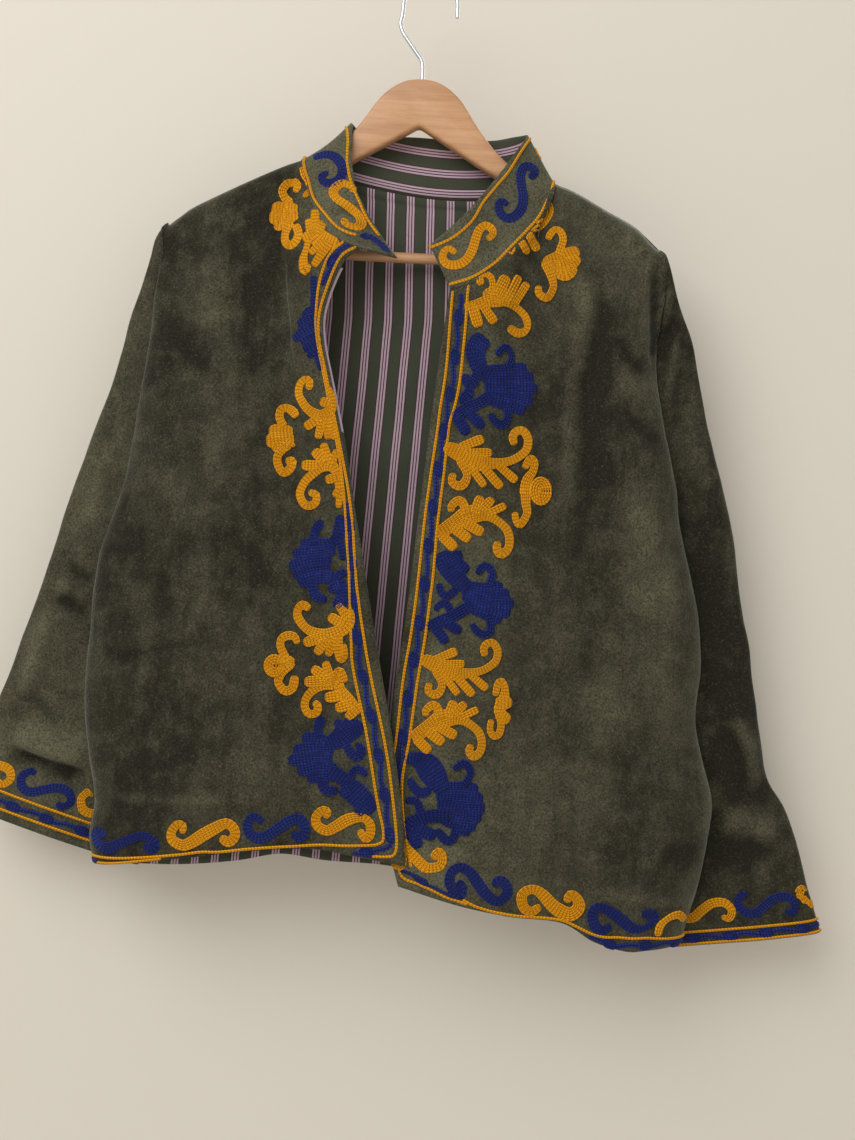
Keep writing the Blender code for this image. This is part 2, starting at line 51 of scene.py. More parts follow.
def add_object(name, data):
    """An object in the scene with this mesh, curve, light or camera."""
    obj = bpy.data.objects.new(name, data)
    bpy.context.collection.objects.link(obj)
    return obj


# %% [markdown]
# ## Where the cloth lies
# These are the tables from which the CAD solids were made, in millimetres, with x to the viewer's right, y
# towards the wall and z up. Right and left are the wearer's. Working from the same curves, and not from
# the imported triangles, gives a cloth that can be divided as finely as its folds need. At the shoulders,
# sides, armholes and neck the pieces come closer together here than the solids do, so that they look sewn.

# %% Sizes of the cloth
VELVET = 1.6  # wall of the velvet
LINING = 1.0  # wall of the cotton lining
SEAM = 0.3  # free space between two pieces that are sewn together
APART = 0.4  # from a seam line to a cloth's edge, where two walls meet at an angle
LAYER = VELVET + SEAM

TURN_SHARE = 0.025
FRONT_BULGE, BACK_BULGE = 10.5, 10
FRONT_NECK_SHARE, FRONT_NECK_FADE = 0.58, (0.48, 0.68)
BACK_SHOULDER_SHARE, BACK_NECK_FADE = 0.27, (0.2, 0.36)
CORNER_WIDTH, CORNER_DEPTH = 0.22, 0.16
SLEEVE_CROWD, ARMHOLE_FADE, SLEEVE_FULL = 1.3, 6, 0.8

# The side of the body: height, outline, how far in the seam and the flat front begin, how much higher the
# flat front is there, and the depths of the front's edge, the back's edge and the flat front.
SIDE_COLUMNS = ("z", "edge", "seam", "strip", "rise", "seam_y", "back_y", "front_y")
RIGHT_SIDE = (
    (-221, -215, 0, 6, 3, -1, 1, -1),
    (-226, -217, 0, 8, 2.5, -9, 9, -9),
    (-238, -218, 1, 12, 1, -10.5, 11, -12),
    (-257, -220, 4, 18, 0, -8, 11, -15),
    (-280, -225, 9, 25, 0, -3, 11.5, -18),
    (-301, -227, 12, 30, 0, 0, 12, -20),
    (-342, -231, 14, 32, 0, 1, 12, -22),
    (-392, -236, 14, 32, 0, 1, 12, -24),
    (-442, -243, 14, 32, 0, 1, 12, -25),
    (-477, -253, 14, 32, 0, 1.5, 11, -25),
    (-498, -259, 14, 32, 0, 3, 5.5, -25),
    (-524, -262, 12, 32, 0, 5, 5, -25),
    (-564, -263, 11, 32, 0, 6, 6, -26),
    (-631, -264, 11, 32, 0, 6, 6, -28),
    (-672, -258, 11, 32, 0, 6, 6, -30),
    (-713, -251, 11, 32, 0, 6, 6, -31),
    (-746, -254, 11, 32, 2, 6, 6, -32),
    (-770, -249, 11, 32, 6, 6, 6, -33),
)
LEFT_SIDE = (
    (-221, 208, 0, 6, 3, -1, 1, -1),
    (-226, 207, -4, 8, 2.5, -9, 9, -9),
    (-238, 202, -10, 12, 1, -10.5, 11, -12),
    (-257, 199, -14, 18, 0, -8, 11, -17),
    (-280, 201, -10, 25, 0, -4, 11.5, -20),
    (-301, 205, -5, 30, 0, -2, 12, -22),
    (-326, 210, 3, 32, 0, 0, 12, -23),
    (-352, 216, 10, 32, 0, 1, 12, -24),
    (-376, 221, 13, 32, 0, 1, 12, -25),
    (-401, 227, 14, 32, 0, 1, 12, -25),
    (-421, 232, 14, 32, 0, 1.5, 11, -25),
    (-441, 235, 14, 32, 0, 3, 5.5, -25),
    (-499, 249, 12, 32, 0, 5, 5, -25),
    (-534, 257, 11, 32, 0, 6, 6, -26),
    (-575, 261, 11, 32, 0, 6, 6, -26),
    (-622, 259, 11, 32, 0, 6, 6, -27),
    (-655, 266, 11, 32, 0, 6, 6, -28),
    (-692, 276, 11, 32, 0, 6, 6, -29),
    (-727, 273, 11, 32, 0, 6, 6, -30),
    (-770, 266, 11, 32, 0, 6, 6, -31),
    (-809, 256, 11, 32, -5, 6, 6, -32),
)
RIGHT_UNDERARM_ROW, LEFT_UNDERARM_ROW = 10, 11
RIGHT_SHOULDER = ((-197, -207), (-178, -196), (-147, -179.7), (-119, -166))
LEFT_SHOULDER = ((186, -203), (160, -189.5), (133, -175.5))

# The collar: each row is a straight line across the band, from its foot to its top.
COLLAR = (
    (-47, -36, -241, -17, -20, -244),
    (-63, -34.5, -235, -28, -18, -230),
    (-75, -31, -226, -38, -18, -216),
    (-84, -26, -212, -48, -18, -200),
    (-94, -18, -193, -56, -17, -183),
    (-100, -12, -175, -60, -16, -161),
    (-102, -8, -164, -61, -14, -147),
    (-101, 0, -158.5, -62, -10, -134),
    (-96, 8, -161, -63, 1, -125),
    (-82, 12, -167, -60, 11, -126),
    (-54, 14, -175, -44, 16, -131),
    (-9, 15, -182, -7, 18, -130),
    (30, 15, -184, 30, 18, -131),
    (70, 14, -181, 60, 16, -130),
    (99, 11, -174, 80, 10, -127),
    (113, 0, -168, 89, 0, -128),
    (113, -8, -174, 86, -6, -135),
    (110, -12, -185, 80, -11, -145),
    (103, -18, -203, 71, -15, -160),
    (92, -25, -219, 61, -19, -175),
    (80, -30, -234, 51, -22, -189),
    (66, -33, -250, 41, -24, -202),
    (48, -35, -263, 26, -25, -218),
    (29, -36, -270, 10, -24, -233),
)
RIGHT_NECK_ROW, LEFT_NECK_ROW = 7, 15
COLLAR_FOOT_CLEAR, NECK_BELOW = 0.6, 0.4  # from the collar's foot line up to it, and down to the body

# The open edges and the hems: x, y, z
RIGHT_OPEN_EDGE = (
    (-60, -36, -253),
    (-70, -35, -277),
    (-75, -35, -300),
    (-73, -36, -322),
    (-66, -38, -350),
    (-56, -40, -390),
    (-46, -43, -432),
    (-36, -46, -476),
    (-20, -50, -552),
    (0, -54, -640),
    (8, -56, -680),
    (14, -57, -720),
    (17, -58, -748),
)
LEFT_OPEN_EDGE = (
    (27, -35, -289),
    (24, -34, -322),
    (18, -33, -392),
    (12, -36, -474),
    (8, -39, -530),
    (5, -40, -564),
    (1, -42, -598),
    (-2, -45, -647),
    (-6, -46, -683),
    (-1, -47, -725),
    (7, -49, -751),
    (12, -49, -767),
)
RIGHT_HEM = ((-169, -42, -755), (-111, -46, -745), (-62, -49, -740), (-28, -53, -743))
LEFT_HEM = (
    (204, -39, -814),
    (176, -43, -806),
    (148, -45, -791),
    (104, -49, -787),
    (58, -50, -779),
)
BACK_HEM = (
    (-181, 11, -772),
    (-130, 10, -766),
    (-92, 7, -757.5),
    (-55, 9, -761),
    (0, 10, -763),
    (60, 10, -771),
    (120, 10, -781),
    (180, 10, -793),
    (225, 9, -803),
)
BACK_HEM_RISE = -2

# The sleeves: the two long edges of the flattened tube, x, y and z each, and half its thickness
RIGHT_SLEEVE = (
    (-228, 1, -230, -247, 12, -512, 9),
    (-235, 3, -246, -249, 17, -524, 11),
    (-236, 5, -268, -250, 20, -540, 12),
    (-243, 7, -294, -251, 22, -556, 13),
    (-252, 9, -326, -251.5, 24, -572, 13),
    (-259, 10, -358, -251.5, 26, -588, 13),
    (-278, 13, -417, -251, 27, -606, 14),
    (-295, 15, -471, -247.5, 28, -632, 14),
    (-308, 16, -520, -241, 28, -658, 14),
    (-323, 17, -568, -233, 28, -685, 14),
    (-336, 18, -609, -227, 28, -710, 14),
    (-350, 18, -650, -222, 28, -735, 14),
    (-375.6, 20, -729.5, -218, 27, -778, 13),
)
LEFT_SLEEVE = (
    (217, 1, -233, 224, 12, -456, 9),
    (222, 3, -247, 227, 17, -472, 11),
    (231, 5, -272, 229, 20, -490, 12),
    (241, 7, -300, 230, 22, -508, 13),
    (253, 9, -330, 230.5, 24, -528, 13),
    (262, 11, -368, 230, 26, -550, 13),
    (271, 13, -408, 229, 27, -574, 14),
    (287, 15, -458, 228, 28, -604, 14),
    (294, 16, -497, 227, 28, -632, 14),
    (301, 17, -534, 225, 28, -660, 14),
    (309, 18, -565, 224, 28, -688, 14),
    (315, 19, -605, 222, 28, -720, 14),
    (328, 20, -668, 220, 28, -768, 14),
    (350, 20, -708, 218, 28, -796, 14),
    (381, 20, -804, 217, 27, -828, 13),
)

# %% [markdown]
# ## Smooth curves
# A row of measured points becomes a soft curve, as a bent wooden spline would draw it, and four such
# curves hold one panel of cloth between them. numpy works out a whole panel at once.

# %% Curves through measured points
SMOOTH_STEPS = 24


def smooth_line(points):
    """A function from 0 to 1 along a smooth curve through points, even in length."""
    points = np.array(points, float)
    ends = np.vstack([2 * points[0] - points[1], points, 2 * points[-1] - points[-2]])
    t = (np.arange(SMOOTH_STEPS) / SMOOTH_STEPS)[:, None]
    curve = []
    for before, start, stop, after in zip(ends, ends[1:], ends[2:], ends[3:]):
        bend = (2 * before - 5 * start + 4 * stop - after) * t**2
        turn = (3 * start - before - 3 * stop + after) * t**3
        curve.append(start + (stop - before) * t / 2 + (bend + turn) / 2)
    curve = np.vstack([*curve, points[-1:]])
    length = np.concatenate([[0], np.cumsum(np.linalg.norm(np.diff(curve, axis=0), axis=1))])

    def at(share):
        far = np.asarray(share) * length[-1]
        return np.stack([np.interp(far, length, axis) for axis in curve.T], axis=-1)

    at.length = length[-1]
    return at


def smooth_column(heights, values):
    """A function of height through one column of a table, smooth at the rows."""
    heights, values = np.array(heights, float), np.array(values, float)
    slopes = np.gradient(values, heights)

    def value(height):
        k = np.clip(np.searchsorted(-heights, -height) - 1, 0, len(heights) - 2)
        gap = heights[k + 1] - heights[k]
        t = (height - heights[k]) / gap
        start = (1 + 2 * t) * (1 - t) ** 2 * values[k] + t * (1 - t) ** 2 * gap * slopes[k]
        stop = t * t * (3 - 2 * t) * values[k + 1] + t * t * (t - 1) * gap * slopes[k + 1]
        return start + stop

    return value


def joined(*parts):
    """Curves end to end: for each, the share from 0 to 1 at which it starts, and the curve."""
    starts = [start for start, _ in parts] + [1]

    def at(u):
        u = np.clip(u, 0, 1)
        found = 0
        for k, (start, curve) in enumerate(parts):
            stop = starts[k + 1]
            here = (u >= start) & ((u < stop) | (stop == 1))
            found = found + here[..., None] * curve(np.clip((u - start) / (stop - start), 0, 1))
        return found

    return at


def quarter_round(share):
    """Rises from 0 to 1 like a quarter of a circle, steepest at the start."""
    share = np.clip(share, 0, 1)
    return np.sqrt(share * (2 - share))


def smooth_step(start, stop, value):
    share = np.clip((value - start) / (stop - start), 0, 1)
    return share * share * (3 - 2 * share)


# %% [markdown]
# ## Sides of the body
# Front, back and sleeve of each side meet along one seam, and the front rolls round it to the flat. A
# table of measured heights gives that whole side, so that the three pieces are cut to the same edge.


# %% Sides of the body
class Side:
    """One side of the body, where front, back and sleeve meet. inward: +1 where the middle has more x."""

    def __init__(self, rows, inward, underarm_row):
        table = dict(zip(SIDE_COLUMNS, np.array(rows, float).T))
        self.inward = inward
        self.top, self.bottom = table["z"][0], table["z"][-1]
        self.underarm = (table["z"][underarm_row] - self.top) / (self.bottom - self.top)
        self.column = {name: smooth_column(table["z"], table[name]) for name in SIDE_COLUMNS[1:]}

    def at(self, v, inset, depth, rise=False):
        z = self.top + (self.bottom - self.top) * np.asarray(v, float)
        x = self.column["edge"](z) + (self.inward * self.column[inset](z) if inset else 0)
        y = self.column[depth](z) if depth else np.zeros_like(z)
        return np.stack([x, y, z + (self.column["rise"](z) if rise else 0)], axis=-1)

    def seam(self, v):
        return self.at(v, "seam", "seam_y")

    def back(self, v):
        return self.at(v, "seam", "back_y")

    def flat(self, v):
        return self.at(v, "strip", "front_y", rise=True)

    def edge(self, v):
        return self.at(v, None, None)


SIDES = {
    "right": Side(RIGHT_SIDE, 1, RIGHT_UNDERARM_ROW),
    "left": Side(LEFT_SIDE, -1, LEFT_UNDERARM_ROW),
}
NECK_SEAM = [(x, y, z - NECK_BELOW) for x, y, z, *_ in COLLAR]
for name, side in SIDES.items():
    print(f"{name} side: {side.top:.0f} to {side.bottom:.0f} mm, underarm at share {side.underarm:.2f}")

# %% [markdown]
# ## Panels between curves
# A tailor's panel is bounded by its seams and hem. Four curves bound each panel here too, and the sheet
# between them is blended from all four, with a soft bulge where the hanger and the body's fullness push
# it out.


# %% Panels between curves
def without_corner(curve, corner, u):
    """The curve with its corner rounded: a mean over a width that is 0 at both ends."""
    reach = CORNER_WIDTH * np.clip(1 - abs(u - corner) / min(corner, 1 - corner), 0, 1)
    return np.mean([curve(u + reach * offset) for offset in np.linspace(-1, 1, 9)], axis=0)


def patch(top, soft_top, bottom, start, stop, u, v):
    """A sheet between four curves, at every u across and v down. soft_top: its top edge just below."""
    across, down = u[None, :, None], v[:, None, None]
    highest = top(u) + smooth_step(0, CORNER_DEPTH, down) * (soft_top(u) - top(u))
    sides = (1 - across) * start(v)[:, None] + across * stop(v)[:, None]
    ends = (1 - down) * highest + down * bottom(u)
    upper = (1 - across) * start(0) + across * stop(0)
    lower = (1 - across) * start(1) + across * stop(1)
    return sides + ends - (1 - down) * upper - down * lower


def front_sheet(name, u, v):
    """The flat of a front, from 0 at the side to 1 at the open edge."""
    side, right = SIDES[name], name == "right"
    feet = NECK_SEAM[RIGHT_NECK_ROW::-1] if right else NECK_SEAM[LEFT_NECK_ROW:]
    shoulder = [(x, -APART, z) for x, z in (RIGHT_SHOULDER if right else LEFT_SHOULDER)]
    shoulder = [side.flat(0), *shoulder, (feet[0][0], -APART, feet[0][2])]
    neck = smooth_line([shoulder[-1], *feet[1:]])
    open_edge = smooth_line([feet[-1], *(RIGHT_OPEN_EDGE if right else LEFT_OPEN_EDGE)])
    hem = smooth_line([side.flat(1), *(RIGHT_HEM if right else LEFT_HEM), open_edge(1)])
    top = joined((0, smooth_line(shoulder)), (FRONT_NECK_SHARE, neck))

    def soft_top(share):
        return without_corner(top, FRONT_NECK_SHARE, share)

    found = patch(top, soft_top, hem, side.flat, open_edge, u, v)
    out = u * (1 - smooth_step(*FRONT_NECK_FADE, u))
    found[..., 1] -= FRONT_BULGE * out * (quarter_round(v / TURN_SHARE) * (1 - v))[:, None]
    return found


def front_wrap(name, shares, v):
    """The front where it turns round the side, from 0 at the seam behind to 1 at the flat front."""
    side = SIDES[name]
    seam, edge = side.seam(v), side.edge(v)
    flat, beside = np.moveaxis(front_sheet(name, np.array([0, 0.02]), v), 1, 0)
    along = (beside - flat) / np.linalg.norm(beside - flat, axis=-1, keepdims=True)
    past = side.inward * (seam[:, 0] - edge[:, 0] + flat[:, 0] - edge[:, 0]) / 6
    handle_x = edge[:, 0] - side.inward * np.maximum(past, 0.5)
    seam_handle = np.stack([handle_x, seam[:, 1], seam[:, 2]], axis=-1)
    flat_handle = flat - along * abs(flat[:, 0] - handle_x)[:, None]
    share = shares[None, :, None]
    rest = 1 - share
    ends = rest**3 * seam[:, None] + share**3 * flat[:, None]
    return ends + 3 * rest * share * (rest * seam_handle[:, None] + share * flat_handle[:, None])


def back_sheet(u, v):
    """The back, from the right side to the left."""
    feet = NECK_SEAM[RIGHT_NECK_ROW : LEFT_NECK_ROW + 1]

    def border(side):
        shift = (side.inward * APART, 0, BACK_HEM_RISE)

        def edge(share):
            share = np.asarray(share, float)
            return side.back(share) + shift * np.stack([np.ones_like(share), share, share], axis=-1)

        return edge

    right, left = border(SIDES["right"]), border(SIDES["left"])
    right_neck, left_neck = [(x, APART, z) for x, _, z in (feet[0], feet[-1])]
    start = [right(0), *((x, APART, z) for x, z in RIGHT_SHOULDER), right_neck]
    stop = [left_neck, *((x, APART, z) for x, z in LEFT_SHOULDER[::-1]), left(0)]
    neck = smooth_line([right_neck, *feet[1:-1], left_neck])
    shoulder = BACK_SHOULDER_SHARE
    top = joined((0, smooth_line(start)), (shoulder, neck), (1 - shoulder, smooth_line(stop)))
    hem = smooth_line([right(1), *BACK_HEM, left(1)])
    found = patch(top, top, hem, right, left, u, v)
    out = smooth_step(*BACK_NECK_FADE, np.minimum(u, 1 - u))
    found[..., 1] -= BACK_BULGE * out * (quarter_round(v / TURN_SHARE) * (1 - v))[:, None]
    return found


def collar_sheet(stations, rises):
    """The collar, from its right front end round the neck to its left one. rises: from 1 down to 0."""
    low, high = np.split(smooth_line(COLLAR)(stations), 2, axis=-1)
    low = low + (high - low) * COLLAR_FOOT_CLEAR / np.linalg.norm(high - low, axis=-1, keepdims=True)
    return low + (high - low) * rises[:, None, None]


def sleeve_sheet(name, turns, v):
    """A sleeve: round the tube from its outer edge over the front, and down to the cuff."""
    side = SIDES[name]
    table = np.array(RIGHT_SLEEVE if name == "right" else LEFT_SLEEVE, float)
    start = (side.seam(0) + side.back(0)) / 2
    stop = (side.seam(side.underarm) + side.back(side.underarm)) / 2
    outer, inner = smooth_line([start, *table[:, :3]]), smooth_line([stop, *table[:, 3:6]])
    t = v**SLEEVE_CROWD
    low, high = outer(t)[:, None], inner(t)[:, None]
    half = np.interp(t * len(table), np.arange(len(table) + 1), [0, *table[:, 6]])[:, None]
    angle = 2 * math.pi * turns
    share = (1 - np.cos(angle)) / 2
    front = turns < 0.5
    plain = low + (high - low) * share[:, None]
    plain[..., 1] += np.where(front, -half, half) * abs(np.sin(angle)) ** SLEEVE_FULL
    seam = np.where(front[:, None], side.seam(share * side.underarm), side.back(share * side.underarm))
    seam = seam + np.stack([np.full(len(turns), -side.inward * APART), front * APART, 0 * turns], axis=-1)
    fade = ((1 - t) ** ARMHOLE_FADE)[:, None, None]
    return plain * (1 - fade) + seam * fade


# %% [markdown]
# ## Folds
# Real velvet hangs in a few long, soft folds: it is thick, so it bends in wide troughs and narrow ridges,
# and creases only where it is held. Each fold is drawn here as a line on the cloth with its own width and
# height. A cloth simulation would give folds too, but not these folds in these places.


# %% Fold lines
def from_line(flat, path):
    """For each flat point: how far it is from the path, on which side, and how far along it."""
    points = smooth_line(path)(np.linspace(0, 1, 4 * len(path)))
    best = np.full(flat.shape[:-1], np.inf)
    side, along = np.zeros_like(best), np.zeros_like(best)
    for k, (start, stop) in enumerate(zip(points, points[1:])):
        step = stop - start
        gap = flat - start
        share = np.clip(gap @ step / (step @ step), 0, 1)
        far = np.linalg.norm(gap - share[..., None] * step, axis=-1)
        turn = step[0] * gap[..., 1] - step[1] * gap[..., 0]
        near = far < best
        best = np.where(near, far, best)
        side = np.where(near, np.sign(turn), side)
        along = np.where(near, (k + share) / (len(points) - 1), along)
    return best, side, along


FADING = 0.25  # share of a fold's line over which it rises or dies away


def fold(grid, path, height, widths):
    """How much one fold lifts each point. widths: its reach on either side of the line, left first."""
    far, side, along = from_line(grid[..., [0, 2]], path)
    reach = np.where(side > 0, widths[0], widths[1])
    keep = smooth_step(0, FADING, along) * smooth_step(0, FADING, 1 - along)
    return height * keep * np.exp(-((far / reach) ** 2))


def waviness(grid, size, height, seed):
    """The slight unevenness of a hanging cloth."""
    places = (grid / size).reshape(-1, 3)
    found = [noise.noise(Vector((x, y + seed, z))) for x, y, z in places]
    return height * np.array(found).reshape(grid.shape[:2])


# %% [markdown]
# ## A cloth as a grid
# Each panel is kept as a grid of points on its outside, with the way out at each point. Places on it are
# given as the embroiderer would mark them on the flat cloth: so far from the edge, and so far up from the
# hem.


# %% Panels as grids
SHORT_OF_END = 1.001  # keeps a place just short of the last row or column
SEARCH_SKIP, SEARCH_ROUNDS, SEARCH_STEP = 5, 14, 6  # from every fifth point, in steps of 6 cells at most
SEEN_NEAR, WORKED_NEAR = 1.5, 3.5  # mm, how near the place found must be to count as on the cloth


class Panel:
    """A grid of points on a cloth's outside, row 0 at the top. ring: its columns close up into a tube."""

    def __init__(self, grid, outward, ring=False):
        self.outward, self.ring = outward, ring
        self.shape(grid)

    def shape(self, grid):
        self.grid = grid
        wrapped = np.concatenate([grid[:, -1:], grid, grid[:, :1]], axis=1) if self.ring else grid
        across = np.gradient(wrapped, axis=1)
        across = across[:, 1:-1] if self.ring else across
        found = np.cross(across, np.gradient(grid, axis=0)) * self.outward
        self.out = found / np.linalg.norm(found, axis=-1, keepdims=True)
        closed = np.concatenate([grid, grid[:, :1]], axis=1) if self.ring else grid
        across = np.linalg.norm(np.diff(closed, axis=1), axis=-1)
        up = np.linalg.norm(np.diff(grid, axis=0), axis=-1)
        self.far = np.pad(np.cumsum(across, axis=1), ((0, 0), (1, 0)))
        self.up = np.pad(np.cumsum(up[::-1], axis=0)[::-1], ((0, 1), (0, 0)))

    def lift(self, height):
        self.shape(self.grid + self.out * height[..., None])

    def look_up(self, field, row, column):
        """The field's value between its points."""
        rows, columns = field.shape[:2]
        row = np.clip(row, 0, rows - SHORT_OF_END)
        column = column % self.grid.shape[1] if self.ring else np.clip(column, 0, columns - SHORT_OF_END)
        i, j = row.astype(int), column.astype(int)
        k = (j + 1) % self.grid.shape[1] if self.ring and columns == self.grid.shape[1] else j + 1
        down, over = row - i, column - j
        if field.ndim == 3:
            down, over = down[..., None], over[..., None]
        upper = field[i, j] * (1 - over) + field[i, k] * over
        lower = field[i + 1, j] * (1 - over) + field[i + 1, k] * over
        return upper * (1 - down) + lower * down

    def place(self, over, up, seen=False):
        """Row and column of the points so far from column 0 and so far up, or with this x and z if seen."""
        rows, columns = self.grid.shape[:2]
        fields = (self.grid[..., 2], self.grid[..., 0]) if seen else (self.up, self.far)
        near = [field[::SEARCH_SKIP, :columns:SEARCH_SKIP] for field in fields]
        miss = (near[0] - up[..., None, None]) ** 2 + (near[1] - over[..., None, None]) ** 2
        if seen:  # only where the cloth faces the front
            miss = miss + 1e5 * (self.out[::SEARCH_SKIP, ::SEARCH_SKIP, 1] > 0)
        best = miss.reshape(*np.shape(over), -1).argmin(axis=-1)
        row, column = np.stack(np.unravel_index(best, near[0].shape)) * float(SEARCH_SKIP)
        for _ in range(SEARCH_ROUNDS):
            misses, slopes = [], []
            for field, wanted in zip(fields, (up, over)):
                down = (self.look_up(field, row + 1, column) - self.look_up(field, row - 1, column)) / 2
                side = (self.look_up(field, row, column + 1) - self.look_up(field, row, column - 1)) / 2
                miss = wanted - self.look_up(field, row, column)
                if self.ring and field is self.far:
                    round_it = self.far[row.astype(int), -1]
                    miss = (miss + round_it / 2) % round_it - round_it / 2
                    down, side = 0 * down, round_it / columns
                misses.append(miss)
                slopes.append((down, side))
            (a, b), (c, d) = slopes
            whole = a * d - b * c
            whole = np.where(abs(whole) < 1e-3, 1e-3, whole)
            row_step = (misses[0] * d - misses[1] * b) / whole
            column_step = (misses[1] * a - misses[0] * c) / whole
            row = np.clip(row + np.clip(row_step, -SEARCH_STEP, SEARCH_STEP), 0, rows - SHORT_OF_END)
            column = column + np.clip(column_step, -SEARCH_STEP, SEARCH_STEP)
            column = column if self.ring else np.clip(column, 0, columns - SHORT_OF_END)
        return row, column

    def at(self, over, up, seen=False):
        """Points and ways out there, and which of them lie on the cloth."""
        where = self.place(np.asarray(over, float), np.asarray(up, float), seen)
        spot = self.look_up(self.grid, *where)
        here = (spot[..., 0], spot[..., 2]) if seen else (over, self.look_up(self.up, *where))
        near = SEEN_NEAR if seen else WORKED_NEAR
        on_it = (abs(here[0] - over) < near) & (abs(here[1] - up) < near)
        return spot, self.look_up(self.out, *where), on_it


def even(length, cell):
    """Shares from 0 to 1 that cut a length into cells of about this size."""
    return np.linspace(0, 1, round(length / cell) + 1)


CELL = 3.6  # size of the velvet's cells, in mm
SLEEVE_CELL, BACK_CELL, COLLAR_CELL = 4, 4, 3
FLAT_WIDTH, WRAP_WIDTH, BODY_LENGTH = 265, 50, 540
BACK_WIDTH, SLEEVE_LENGTH, COLLAR_LENGTH, COLLAR_HEIGHT = 500, 560, 500, 48
SLEEVE_COLUMNS = 144
TURN_ROWS = 5  # rows over the turn at the shoulder
COLLAR_TUCK, COLLAR_PROUD = 2.2, 0.6  # how far the band's edge covers the neck seam and stands off it
turn_rows = np.linspace(0, TURN_SHARE, TURN_ROWS, endpoint=False)
BODY_ROWS = np.concatenate([turn_rows, TURN_SHARE + (1 - TURN_SHARE) * even(BODY_LENGTH, CELL)])
panels = {}
for name in ("right", "left"):
    flat = front_sheet(name, even(FLAT_WIDTH, CELL)[::-1], BODY_ROWS)
    wrap = front_wrap(name, even(WRAP_WIDTH, CELL)[:-1][::-1], BODY_ROWS)
    outward = 1 if name == "right" else -1
    panels[name + "_front"] = Panel(np.concatenate([flat, wrap], axis=1), outward)
    turns = np.arange(SLEEVE_COLUMNS) / SLEEVE_COLUMNS
    sleeve = sleeve_sheet(name, turns, even(SLEEVE_LENGTH, SLEEVE_CELL))
    panels[name + "_sleeve"] = Panel(sleeve, -outward, ring=True)
panels["back"] = Panel(back_sheet(even(BACK_WIDTH, BACK_CELL), BODY_ROWS), 1)
band = collar_sheet(even(COLLAR_LENGTH, COLLAR_CELL), even(COLLAR_HEIGHT, COLLAR_CELL)[::-1])
panels["collar"] = Panel(band, 1)
collar = panels["collar"]
tuck = collar.grid[-1] - collar.grid[-2]
tuck = tuck / np.linalg.norm(tuck, axis=-1, keepdims=True)
collar.grid[-1] += COLLAR_TUCK * tuck + COLLAR_PROUD * collar.out[-1]
collar.shape(collar.grid)
for name, panel in panels.items():
    rows, columns = panel.grid.shape[:2]
    print(f"{name}: {columns} by {rows} points, {panel.far[-1, -1]:.0f} mm along its lower edge")
